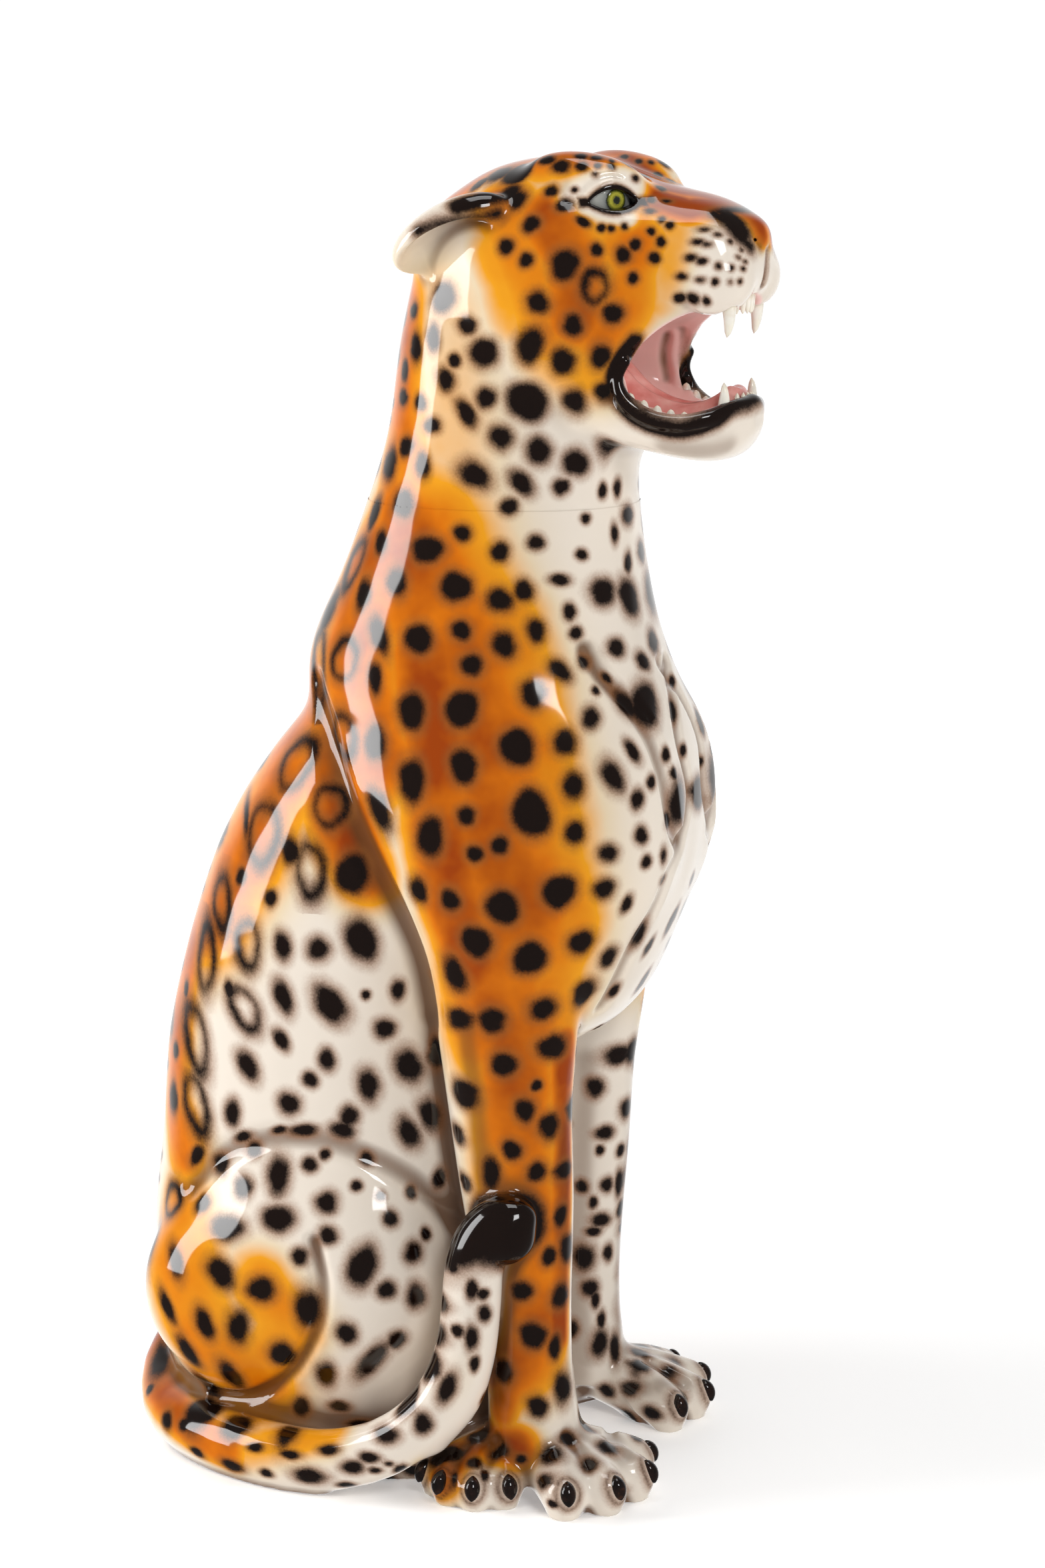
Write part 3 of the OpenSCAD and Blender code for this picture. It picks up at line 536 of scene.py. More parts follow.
# Spots, dark brown and nearly black, each one touch of the airbrush with a soft edge. A row is a spot's
# place and half width, its half height where it isn't round, and its lean, in pixels and degrees.
FACE_SPOTS = [
    (848, 397, 21), (808, 454, 15), (920, 470, 14), (860, 488, 14), (796, 518, 18, 25, 35),
    (844, 542, 18, 17), (902, 535, 15), (792, 602, 29, 28), (862, 600, 15), (906, 586, 12),
    (730, 597, 15, 13, -35), (752, 656, 16), (808, 676, 18), (864, 694, 18), (914, 666, 16, 11),
    (798, 337, 12), (760, 370, 11), (790, 390, 10), (895, 375, 9), (935, 383, 11), (953, 367, 8),
    (982, 387, 8), (992, 363, 7), (977, 348, 6), (1005, 338, 6), (993, 330, 5), (950, 417, 8),
    (875, 333, 6, 11, -60), (902, 342, 6), (937, 340, 5), (917, 343, 5), (847, 308, 13, 9), (828, 288, 9),
    (862, 285, 4), (842, 250, 13, 9), (873, 250, 9, 7), (872, 235, 9, 5), (895, 237, 8, 4), (897, 250, 5),
    (917, 250, 5), (893, 262, 4), (918, 242, 4), (820, 240, 12, 7), (787, 252, 20, 13), (750, 260, 15, 10),
    (720, 275, 8), (777, 300, 13), (977, 300, 7, 5), (975, 317, 8, 4), (992, 283, 7, 5), (1000, 302, 6, 3),
    (953, 268, 5), (965, 263, 6), (987, 263, 6, 4), (958, 243, 5), (937, 235, 6, 4), (943, 248, 5),
    (1007, 272, 5, 3), (977, 245, 4), (1000, 247, 4)]
WHISKER_SPOTS = [
    (1020, 447, 8, 6), (1040, 448, 8, 6), (1060, 452, 5), (1023, 415, 8, 5), (1052, 420, 6, 4),
    (1073, 423, 5), (1095, 423, 3), (1110, 422, 3), (1037, 387, 9, 5), (1053, 392, 7, 5), (1078, 400, 5),
    (1097, 402, 4), (1115, 403, 3), (1047, 363, 8, 4), (1060, 367, 6, 3), (1107, 387, 3), (1117, 393, 3),
    (1057, 345, 7, 3), (1077, 352, 5, 3), (1095, 363, 4), (1112, 375, 3)]
NECK_SPOTS = [
    (666, 446, 16, 20), (621, 466, 5, 12), (650, 506, 9, 18), (624, 522, 8, 20), (682, 541, 9),
    (608, 556, 5, 15), (670, 570, 11, 16, -30), (606, 596, 6, 12), (631, 604, 8, 11),
    (700, 620, 11, 20, -35), (650, 638, 11), (702, 488, 12), (728, 528, 20), (585, 696, 9, 24, 10),
    (634, 698, 10, 18), (610, 670, 10, 14), (712, 712, 16, 24, -55), (782, 724, 13, 19, -50),
    (842, 730, 11), (904, 736, 6, 10), (926, 732, 5, 12), (606, 756, 15, 20), (764, 760, 12), (878, 778, 7),
    (942, 772, 8, 14), (562, 770, 6, 24, 20), (694, 800, 12), (572, 814, 8, 18), (804, 814, 11),
    (750, 828, 13), (922, 800, 5, 13), (962, 828, 7, 15), (872, 832, 8), (942, 844, 5, 14),
    (642, 824, 22, 20), (596, 874, 14, 20), (684, 880, 22), (750, 900, 18, 16), (786, 886, 14),
    (840, 870, 14, 8), (904, 888, 18), (944, 896, 14, 26, -20), (976, 890, 8, 28), (546, 892, 10, 24, 10),
    (494, 916, 8, 24, 35), (854, 918, 9, 11), (568, 952, 12, 28, -15), (692, 946, 14),
    (756, 968, 16, 19, -35), (804, 946, 13, 16, -20), (864, 950, 9), (980, 962, 7, 16), (924, 972, 12),
    (628, 958, 20, 22), (708, 998, 15, 16), (964, 992, 9, 12), (874, 994, 7, 9), (840, 1006, 12, 17, -45)]
SHOULDER_SPOTS = [
    (563, 1017, 10, 22), (800, 1041, 19), (886, 1077, 12, 15), (893, 1036, 6), (910, 1017, 5, 9, -45),
    (969, 1056, 20, 30), (938, 1058, 12, 24, -35), (1008, 1023, 5, 9), (1008, 1067, 6, 16),
    (1049, 1082, 6, 10), (1042, 1036, 4, 10), (618, 1067, 20, 26), (693, 1064, 24, 26), (563, 1114, 16, 24),
    (776, 1121, 26), (847, 1114, 17), (696, 1149, 20, 24), (618, 1171, 19, 30), (570, 1214, 14, 30, -20),
    (700, 1223, 13), (646, 1255, 20, 28), (797, 1220, 28, 34), (860, 1179, 14, 20),
    (919, 1164, 14, 22, -25), (862, 1249, 13, 17), (750, 1268, 12, 14), (713, 1281, 12),
    (949, 1127, 8, 16, -30), (956, 1199, 9, 14), (977, 1173, 6, 10), (999, 1132, 6, 10), (1025, 1125, 5, 9),
    (1051, 1142, 4, 7), (1047, 1188, 16, 26), (1018, 1205, 13, 32), (1012, 1160, 5, 9), (999, 1231, 5, 12),
    (962, 1253, 9, 12), (912, 1279, 13), (969, 1292, 7, 9), (995, 1283, 4, 10), (906, 1333, 14),
    (839, 1337, 24), (754, 1361, 24), (628, 1335, 12, 18), (676, 1350, 13, 16), (940, 1355, 7, 12, 25),
    (958, 1400, 8, 16, 25), (973, 1420, 7), (715, 1413, 22), (683, 1461, 15, 24, -25), (795, 1437, 24),
    (871, 1413, 17), (912, 1435, 11, 13), (875, 1489, 17), (921, 1485, 6, 10, 35), (815, 1513, 19, 16),
    (739, 1530, 20, 18), (691, 1528, 20, 14), (964, 1472, 6, 10), (973, 1502, 5, 12),
    (1008, 1379, 5, 12, 30), (1044, 1327, 4, 9)]
FLANK_SPOTS = [
    (370, 1223, 4, 30), (436, 1276, 14, 20), (528, 1311, 24, 30), (363, 1315, 8, 13), (406, 1347, 9, 12),
    (425, 1419, 12, 20), (478, 1423, 16), (542, 1409, 22, 32, -15), (280, 1483, 4, 12), (344, 1485, 8, 14),
    (425, 1495, 13, 24, -15), (496, 1506, 20, 32, -40), (549, 1492, 7), (597, 1485, 10, 14),
    (577, 1543, 14), (422, 1559, 10, 16, -25), (372, 1598, 14, 22, -30), (491, 1589, 12, 15),
    (466, 1619, 11), (613, 1598, 18, 26, -20), (553, 1628, 15, 22, -15), (349, 1669, 12, 18),
    (434, 1655, 15, 16), (524, 1674, 13, 15), (645, 1672, 14, 24, -20), (613, 1699, 15, 22, -25),
    (261, 1646, 7, 24), (259, 1522, 5, 28), (264, 1575, 5, 12), (655, 1577, 9, 22)]
HAUNCH_SPOTS = [
    (366, 1704, 7, 14, 65), (420, 1694, 6, 11, 75), (457, 1695, 9, 18, 80), (514, 1695, 17, 12),
    (296, 1732, 9, 20, 35), (334, 1747, 11, 15, 25), (383, 1725, 11), (418, 1764, 17, 26),
    (366, 1781, 13, 16), (465, 1747, 11), (488, 1732, 8), (550, 1738, 10), (535, 1779, 8),
    (490, 1804, 16, 14), (492, 1853, 14, 12), (418, 1828, 23, 20), (305, 1806, 11, 13), (341, 1841, 24, 19),
    (450, 1885, 12), (586, 1828, 10, 12), (571, 1794, 7), (616, 1789, 7, 9), (639, 1851, 7, 9),
    (620, 1879, 12, 15), (543, 1900, 21, 31, 12), (580, 1934, 13), (624, 1943, 13, 18),
    (332, 1909, 18, 25, -45), (392, 1934, 21, 18), (462, 1964, 18, 30, -5), (264, 1892, 10, 26, -18),
    (230, 1862, 7, 24), (251, 1960, 8, 26, -25), (307, 1986, 13, 22, -20), (358, 1990, 16, 24),
    (520, 2000, 14, 16), (595, 2009, 13), (283, 2028, 11, 20, -20), (424, 2032, 18, 20),
    (558, 2041, 14, 30, 40), (347, 2062, 14, 20, -25), (311, 2075, 11, 18, -25), (490, 2060, 14, 18),
    (452, 2109, 12, 15), (509, 2109, 15, 8)]
TAIL_SPOTS = [
    (680, 1900, 8, 10), (665, 1956, 9, 14), (659, 2003, 9, 16), (646, 2049, 9, 18), (614, 2099, 12, 15),
    (708, 1934, 9, 14), (725, 1941, 8), (727, 1971, 9, 12), (686, 1996, 9), (708, 2007, 9, 18),
    (712, 2045, 7, 11), (671, 2082, 12, 22, 25), (635, 2135, 13, 15), (240, 2040, 15, 30),
    (307, 2114, 25, 16), (354, 2139, 22, 14), (279, 2137, 10), (251, 2131, 8, 14), (226, 2084, 8, 6),
    (432, 2150, 16, 10), (541, 2135, 18, 6), (580, 2152, 16, 12), (383, 2171, 12, 6), (435, 2182, 15, 6),
    (494, 2175, 14, 7), (554, 2186, 14, 8), (584, 2195, 6, 4), (529, 2201, 16, 10), (563, 2205, 9, 5),
    (349, 2199, 16, 9), (296, 2178, 10, 7), (400, 2210, 10, 6), (464, 2214, 24, 11), (520, 2227, 13, 5),
    (578, 2220, 18, 6), (601, 2203, 8)]
NEAR_LEG_SPOTS = [
    (656, 1584, 14), (756, 1597, 18), (829, 1570, 20, 18), (698, 1640, 20), (788, 1665, 14, 17),
    (805, 1628, 8), (858, 1660, 13, 20), (824, 1689, 15, 18), (768, 1725, 14), (688, 1701, 13),
    (805, 1757, 14), (846, 1755, 12, 14), (659, 1768, 9, 15), (698, 1773, 9, 12), (737, 1760, 13, 24),
    (841, 1823, 9, 16), (851, 1871, 10, 20), (824, 1884, 11, 14), (783, 1937, 15), (841, 1944, 12, 18),
    (800, 2003, 20), (832, 2020, 9, 18), (756, 2056, 13, 17), (807, 2110, 14, 16), (844, 2081, 12, 24),
    (873, 2134, 10, 8), (849, 2159, 13, 9), (827, 2183, 16, 10), (885, 2198, 13, 9), (912, 2171, 14, 8),
    (939, 2137, 13, 8), (783, 2188, 9, 7), (751, 2178, 8), (817, 2222, 14, 10), (829, 2256, 8, 6),
    (671, 2182, 14, 10), (718, 2156, 14, 8), (712, 2195, 11, 7), (663, 2220, 4, 10), (682, 2216, 5, 9),
    (727, 2214, 6, 8), (620, 2205, 14, 8)]
FAR_LEG_SPOTS = [
    (893, 1631, 14), (927, 1582, 20, 14), (956, 1587, 8, 16), (939, 1662, 8, 14), (907, 1699, 14, 10),
    (900, 1725, 6, 8), (931, 1725, 6, 9), (910, 1777, 9, 12), (873, 1779, 10), (929, 1774, 6, 20),
    (890, 1803, 7, 9), (902, 1830, 14, 11), (931, 1813, 5, 12), (931, 1840, 4, 8), (876, 1886, 16, 20),
    (912, 1879, 7, 13), (890, 1847, 12, 7), (885, 1932, 12, 14), (893, 1949, 7, 12), (902, 1979, 6, 14),
    (858, 1993, 10, 14), (900, 2015, 13, 20), (922, 2022, 8, 22), (961, 2049, 14, 12), (912, 2086, 12, 10),
    (946, 2083, 15, 10), (978, 2120, 13, 10), (1009, 2025, 10, 6), (978, 2015, 10, 5)]
RINGS = [
    (893, 430, 16, 19), (532, 846, 9, 28, 25), (517, 990, 18, 27), (478, 1000, 8, 28),
    (516, 1103, 14, 30, -12), (445, 1145, 20, 36, 25), (395, 1251, 21, 44, 8), (496, 1209, 22, 28),
    (466, 1306, 18, 36), (333, 1354, 12, 38), (372, 1416, 17, 30), (310, 1437, 12, 46),
    (367, 1513, 18, 30, -30), (294, 1557, 16, 46, -12), (294, 1656, 16, 40, -12), (260, 1800, 11, 22)]
for rows in (FACE_SPOTS, WHISKER_SPOTS, NECK_SPOTS, SHOULDER_SPOTS, FLANK_SPOTS, HAUNCH_SPOTS, TAIL_SPOTS,
             NEAR_LEG_SPOTS, FAR_LEG_SPOTS):
    spots(rows)
spots(RINGS, hollow=True)
EAR_STREAKS = [(6.2, [(687, 309), (725, 298), (767, 288)]), (3.0, [(627, 347), (680, 330), (747, 320)])]
NOSE_BANDS = [
    (3.6, [(1072, 322), (1090, 335), (1107, 353), (1124, 371)]),
    (3.2, [(1080, 319), (1100, 315), (1118, 315)]),
    (6.8, [(1092, 327), (1104, 335), (1112, 350)])]
for radius, places in EAR_STREAKS + NOSE_BANDS:
    line(folded(curve(sight(places))), radius, twin)
# The widest rim reaches past the tail onto the leg beside its tip, where its brown haze is a painted shadow.
BLACK_TIP = [(712, 1853), (732, 1846), (775, 1844)]
TIP_RIMS = [(24, (703, 1856)), (18.5, (703, 1880)), (14.5, (703, 1905))]
for radius, start in TIP_RIMS:
    line(crossing([start] + BLACK_TIP, TAIL_Y), radius, points)
CLAW_RING = 3.9
for name in CLAWS:
    p, c = casting(name)
    claw = Clay(p.min(0) - 12, p.max(0) + 12, voxel=1.5)
    claw.depth = claw.distance(p, 12, triangles=c)
    found = close_to(points, p.min(0) - 9, p.max(0) + 9)
    spot[found] = np.minimum(spot[found], 1.2*np.abs(claw.at(points[found]) - CLAW_RING) + 0.4)

# Loose spots of the same brush fill the coat where the photograph shows none: about as big as their
# neighbours, and closer together on the sides that it doesn't show. The face, the top of the head and the
# foot of the figure stay clear.
TRIES = 9000
SMALLEST, LARGEST = 3.0, 9.0
HIDDEN_GAP, SHOWN_GAP = 1.65, 2.8
FACE_X, FACE_Z, CROWN_Z, FOOT_Z = 40, 665, 770, 4
ready = np.array(placed)
for number in dice.permutation(len(points))[:TRIES]:
    place, normal = points[number], normals[number]
    gaps = np.linalg.norm(ready[:, :3] - place, axis=1)
    radius = np.clip(0.8*ready[gaps.argmin(), 3], SMALLEST, LARGEST)
    forward = turned(place[None], HEAD_TURN)[0, 0]
    on_face = place[2] > FACE_Z and forward > FACE_X
    spread = HIDDEN_GAP if normal @ AHEAD > -0.2 else SHOWN_GAP
    crowded = (gaps < spread*(radius + ready[:, 3])).any()
    if on_face or place[2] < FOOT_Z or place[2] > CROWN_Z or crowded:
        continue
    size = radius, radius*dice.uniform(0.9, 1.3), radius*1.1
    dab(points, normals, place, normal, size, dice.uniform(-40, 40))
    ready = np.vstack([ready, (*place, radius)])

# Passes of the airbrush: orange down the spine and over the upper body, wiped back to cream round the eyes
# and on the chin, and brown painted shade in the folds of the legs. A row is a pass's strength, where 1 is
# the deepest colour, its radius and its route, exact along the back, where lines of sight graze the skin.
SPINE_HEIGHTS = range(130, 870, 50)
ORANGE_PASSES = [
    (0.5, 20, [(745, 372), (762, 420), (770, 470)]),
    (0.8, 28, [(612, 470), (602, 612), (597, 753), (588, 870)]),
    (0.3, 45, [(659, 494), (659, 612), (659, 753), (682, 823)]),
    (0.85, 45, [(564, 847), (541, 941), (529, 1035), (553, 1129)]),
    (0.85, 55, [(612, 823), (659, 941), (706, 1058), (729, 1176), (753, 1294), (764, 1411), (764, 1529)]),
    (0.97, 28, [(635, 976), (659, 1129), (659, 1247), (682, 1352), (706, 1446)]),
    (0.85, 32, [(764, 1529), (776, 1646), (776, 1764), (800, 1882), (800, 1999), (764, 2046)]),
    (0.97, 14, [(847, 1564), (849, 1705), (841, 1882), (841, 1999)]),
    (0.65, 32, [(753, 941), (782, 1058), (806, 1176), (829, 1294), (841, 1388), (829, 1458)]),
    (0.85, 42, [(470, 1058), (412, 1176), (365, 1270), (318, 1364)]),
    (0.97, 28, [(494, 1129), (517, 1223), (553, 1294)]),
    (0.8, 25, [(288.12, 1411.2), (268.13, 1528.8), (261.07, 1646.4), (276.36, 1716.96)]),
    (0.66, 38, [(264.6, 1834.56), (276.36, 1928.64), (317.52, 2022.72), (376.32, 2069.76)]),
    (0.6, 26, [(388, 1929), (435, 1987), (400, 2046)]),
    (0.9, 16, [(229.32, 1999.2), (235.2, 2069.76), (270.48, 2128.56), (341.04, 2175.6)]),
    (0.5, 16, [(341, 2176), (494, 2152)]), (0.9, 16, [(661, 2216), (694, 2181), (729, 2164), (776, 2170)]),
    (0.8, 14, [(782, 1999), (770, 2070), (753, 2117)]),
    (0.9, 24, [(694, 282), (753, 247), (823, 229), (894, 226), (964, 229)]),
    (1.0, 15, [(941, 241), (988, 270), (1035, 282), (1094, 300), (1135, 323)]),
    (0.97, 24, [(823, 329), (864, 388), (864, 470)]),
    (0.8, 24, [(941, 365), (976, 400), (941, 447), (906, 494)]),
    (0.7, 24, [(753, 294), (776, 353), (800, 423), (823, 494)]),
    (0.45, 28, [(823, 517), (882, 553), (929, 529)]),
    (0.97, 15, [(990, 299), (1035, 313), (1076, 306), (1117, 313)]),
    (0.6, 16, [(958, 359), (997, 399), (983, 445)]), (1.0, 9, [(1135, 335), (1141, 353)])]
CREAM_WIPES = [
    (0.97, 9, [(856, 293), (894, 273), (935, 268), (950, 280)]),
    (0.97, 6, [(880, 310), (911, 323), (943, 330)]), (0.97, 20, [(1035, 412), (1064, 394), (1111, 394)]),
    (0.97, 25, [(1058, 659), (1094, 659)])]
CHEEK_PASS = [(1012, 350), (1006, 395), (990, 440)]
PAINTED_SHADE_PASSES = [
    (1.0, 7, [(700, 1545), (712, 1640), (722, 1740), (728, 1790)]),
    (0.9, 9, [(757, 1905), (752, 2000), (745, 2090)]),
    (0.8, 8, [(880, 1590), (874, 1700), (868, 1850), (868, 1960), (874, 2040)]),
    (0.6, 6, [(956, 1600), (944, 1700), (934, 1800), (928, 1900), (930, 1990)]),
    (0.7, 8, [(862, 1990), (868, 2060), (872, 2110)]), (0.7, 6, [(883, 2203), (866, 2175), (850, 2151)]),
    (0.7, 6, [(940, 2184), (916, 2152), (892, 2122)]), (0.6, 6, [(977, 2151), (955, 2126)]),
    (0.6, 6, [(1025, 2075), (998, 2058)]), (0.7, 7, [(1000, 668), (1040, 676), (1090, 668)])]
spine = []
for height in SPINE_HEIGHTS:
    turn = HEAD_TURN if height > 640 else 0
    ring = (np.abs(points[:, 2] - height) < 3) & (np.abs(turned(points, turn)[:, 1]) < 8)
    spine.append(points[ring][points[ring, 0].argmin()])
spray(level=0.85, radius=36, places=spine, layer=coat)
for level, radius, places in ORANGE_PASSES:
    spray(level, radius, places, coat)
for level, radius, places in CREAM_WIPES:
    spray(level, radius, places, coat, erase=True)
spray(level=0.45, radius=13, places=CHEEK_PASS, layer=coat)
# Painted shade: brown sprayed into the shade layer in the folds of the legs and between the toes.
for level, radius, places in PAINTED_SHADE_PASSES:
    spray(level, radius, places, shade)
# The inner sides of the forelegs and the standing end of the tail stay cream.
leg_low, leg_high = (np.array(corner)/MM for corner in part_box("foreleg_right"))
leg_middle = -(leg_low[1] + leg_high[1])/2
front = smooth_step(leg_low[0] - 20, leg_low[0], points[:, 0])*smooth_step(330, 270, points[:, 2])
limit = leg_middle + np.where(points[:, 1] > 0, 30, 2)
coat *= 1 - front*smooth_step(limit, limit - 16, np.abs(points[:, 1]))
found = close_to(points, tip_low, tip_high)
coat[found] *= smooth_step(20, 27, line_distance(*points[found].T, tip))

# Mouth, lips, lids and nostrils of the coat: pink sprayed inside the mouth, black brushed along the edges.
# A row of the mouth is a station along the head, its top and bottom there, and half its width.
MOUTH = np.array([
    (50, 753, 745, 8), (64, 765, 719, 29), (88, 773, 707, 44), (106, 777, 703, 43), (122, 783, 702, 38),
    (141, 788, 703, 31), (154, 789, 708, 23), (160, 785, 727, 10)], float)
ROUNDNESS = 2.6
GUM = curve([(158, 0, 783), (155, -12, 783), (150, -22, 782)])
GUTTER = curve([(138, -33, 707), (116, -40, 710), (100, -46, 716), (93, -51, 728), (95, -52, 742)])
LIP = curve([(103, -52, 757), (93, -55, 745), (91, -55, 731), (98, -53, 718), (113, -49.5, 709),
             (130, -44, 706), (146, -36, 711), (153, -24, 718), (158, -10, 720), (159, 0, 720)])
CORNER = curve([(103, -52, 757), (112, -49.5, 764), (122, -45, 769)])
NOSTRIL = np.array([(160, -12, 821), (163, -10, 817)], float)
NOSE_EDGE = curve([(150, -17, 836), (157, -17, 827), (162, -14, 814)])
NOSE_GROOVE = curve([(171, 0, 814), (170, 0, 804), (167, 0, 793)])
local = np.vstack([turned(lower, HEAD_TURN), face])
local[:, 1] = -np.abs(local[:, 1])
top, bottom, half = (np.interp(local[:, 0], MOUTH[:, 0], MOUTH[:, k]) for k in (1, 2, 3))
across = np.abs(local[:, 1])/half
up = np.abs(2*local[:, 2] - top - bottom)/(top - bottom)
inside = (across**ROUNDNESS + up**ROUNDNESS)**(1/ROUNDNESS)
pink = smooth_step(1.12, 1.0, inside)*smooth_step(44, 52, local[:, 0])*smooth_step(166, 158, local[:, 0])
pink = np.maximum(pink, smooth_step(7, 4, line_distance(*local.T, GUM)))
coat *= 1 - pink
# Painted shade: crease shade is weakened in the pink, and brown painted shade lies in the gutter inside the
# lip.
shade = np.maximum(shade*(1 - 0.7*pink), 1.3*smooth_step(8, 3, line_distance(*local.T, GUTTER)))
spot = np.where(pink > 0.05, NO_SPOT, spot)
for path, radius in ((LIP, 7.0), (CORNER, 2.0), (NOSTRIL, 4.2), (NOSE_EDGE, 2.6), (NOSE_GROOVE, 2.0)):
    spot = np.minimum(spot, 1.6*(line_distance(*local.T, path) - radius))
ball, look, ahead, rise = eyes[-1]
u, v, w = ((local - ball) @ axis for axis in (ahead, rise, look))
opening = np.clip(1 - (u/LID_HALF)**2, 0, 1)
rim = np.maximum(v + LID_DROP - LID_TOP*opening**0.9, -LID_LOW*opening - v - LID_DROP)
rim = np.where((w > 2) & (np.abs(u) < 21), np.maximum(rim, np.abs(u) - 17.5) - 2.6, NO_SPOT)
spot = np.minimum(spot, 2.5*rim)

# Skin pieces: the glazed skin parted where one casting was luted to the next. Each part takes the place of
# the casting under it, and the fired glaze runs over the joints.
SKINS = ["body_casting", "head_casting", "lower_jaw", "ear_left", "ear_right"] + LIMBS
BODY, HEAD = SKINS.index("body_casting"), SKINS.index("head_casting")
low, high = (np.array(corner)/MM for corner in cad_box)
near = Clay(low - 10, high + 10, voxel=6.0)
middles = points[quads].mean(1)
apart = []
for name in SKINS + ["base_slab"]:
    p, c = casting(name)
    apart.append(near.at(middles, near.distance(p, 24, triangles=c)))
owner = np.argmin(apart, axis=0)
of_body = np.arange(len(quads)) < len(lower_quads)
owner[of_body & (owner == HEAD)] = BODY
owner[~of_body & (owner == BODY)] = HEAD


def add(tree, kind, wires=(), **settings):
    """One shader node with its settings; wires join other nodes' outputs to its inputs."""
    node = tree.nodes.new("ShaderNode" + kind)
    for name, value in settings.items():
        if name == "stops":
            while len(node.color_ramp.elements) < len(value):
                node.color_ramp.elements.new(0.5)
            for stop, (place, code) in zip(node.color_ramp.elements, value):
                stop.position, stop.color = place, colour(code)
        elif name == "inputs":
            for socket, constant in value.items():
                node.inputs[socket].default_value = constant
        else:
            setattr(node, name, value)
    for socket, output in wires:
        tree.links.new(output, node.inputs[socket])
    return node


def colour(code):
    """A colour given as on screen, in the linear light that the shader works in."""
    parts = [int(code[k:k + 2], 16)/255 for k in (0, 2, 4)]
    return tuple(p/12.92 if p < 0.04045 else ((p + 0.055)/1.055)**2.4 for p in parts) + (1,)


def glazed(name):
    """A new material under clear gloss: fired glaze has an index near 1.5 and is almost mirror smooth."""
    material = bpy.data.materials.new(name)
    material.use_nodes = True
    tree = material.node_tree
    shader = tree.nodes["Principled BSDF"]
    shader.inputs["IOR"].default_value = 1.5
    shader.inputs["Roughness"].default_value = 0.07
    return material, tree, shader


# Airbrushed glaze: soft clouds of orange on cream, spots with a brown haze and a fine mist at their edges.
# The clear coat over it pools a little, so that highlights wander as they do on dipped ware. Real droplets
# of mist are about 0.2 mm: they are drawn as coarse as they need to be to show.
CLOUD, MIST, WOBBLE, POOL = 45.5, 1.43, 9.1, 35.7
HAZE_REACH, INK_REACH = (8.5, -0.5), (3.4, -2.6)
coat_glaze, tree, shader = glazed("airbrushed_gloss_glaze")
layer = {name: add(tree, "Attribute", attribute_name=name).outputs["Fac"]
         for name in ("coat", "spot", "shade", "pink")}
place = add(tree, "TexCoord").outputs["Object"]
cloud = add(tree, "TexNoise", [("Vector", place)], inputs={"Scale": 1/(CLOUD*MM), "Detail": 3})
mist = add(tree, "TexNoise", [("Vector", place)], inputs={"Scale": 1/(MIST*MM), "Detail": 2})
wobble = add(tree, "TexNoise", [("Vector", place)], inputs={"Scale": 1/(WOBBLE*MM), "Detail": 2})
pool = add(tree, "TexNoise", [("Vector", place)], inputs={"Scale": 1/(POOL*MM), "Detail": 1})
depth = add(tree, "Math", [(0, cloud.outputs["Fac"])], operation="MULTIPLY_ADD", inputs={1: 0.8, 2: -0.4})
depth = add(tree, "Math", [(0, depth.outputs[0]), (1, layer["coat"])], operation="MULTIPLY")
depth = add(tree, "Math", [(0, depth.outputs[0]), (1, layer["coat"])], operation="ADD", use_clamp=True)
ground = add(tree, "ValToRGB", [("Fac", depth.outputs[0])], stops=[
    (0.0, "eadfd1"), (0.16, "e6d2b2"), (0.45, "ea9d1e"), (0.75, "d67108"), (1.0, "9a3e04")])
edge = add(tree, "Math", [(0, wobble.outputs["Fac"])], operation="MULTIPLY_ADD", inputs={1: 2.4, 2: -1.2})
edge = add(tree, "Math", [(0, edge.outputs[0]), (1, layer["spot"])], operation="ADD")
grain = add(tree, "Math", [(0, mist.outputs["Fac"])], operation="MULTIPLY_ADD", inputs={1: 2.4, 2: -1.2})
edge = add(tree, "Math", [(0, grain.outputs[0]), (1, edge.outputs[0])], operation="ADD")
haze = add(tree, "MapRange", [("Value", edge.outputs[0])], interpolation_type="SMOOTHSTEP",
           inputs={"From Min": HAZE_REACH[0], "From Max": HAZE_REACH[1], "To Min": 0.0, "To Max": 0.7})
ink = add(tree, "MapRange", [("Value", edge.outputs[0])], interpolation_type="SMOOTHSTEP",
          inputs={"From Min": INK_REACH[0], "From Max": INK_REACH[1]})
# Painted shade: the shade layer mixes brown into the hollows, creases and folds.
fold = add(tree, "MapRange", [("Value", layer["shade"])],
           inputs={"From Min": 0.0, "From Max": 1.4, "To Max": 0.88})
paint = ground.outputs["Color"]
# The mouth's pink is painted paler than its glaze, as painted light where the mouth lies in shade.
for share, code in ((layer["pink"], "fcd2cb"), (fold.outputs[0], "67401f"), (haze.outputs[0], "8a5426"),
                    (ink.outputs[0], "160b07")):
    mix = add(tree, "Mix", [("Factor", share), (6, paint)], data_type="RGBA", inputs={7: colour(code)})
    paint = mix.outputs[2]
tree.links.new(paint, shader.inputs["Base Color"])
bump = add(tree, "Bump", [("Height", pool.outputs["Fac"])], inputs={"Strength": 0.2, "Distance": 4*MM})
tree.links.new(bump.outputs["Normal"], shader.inputs["Normal"])


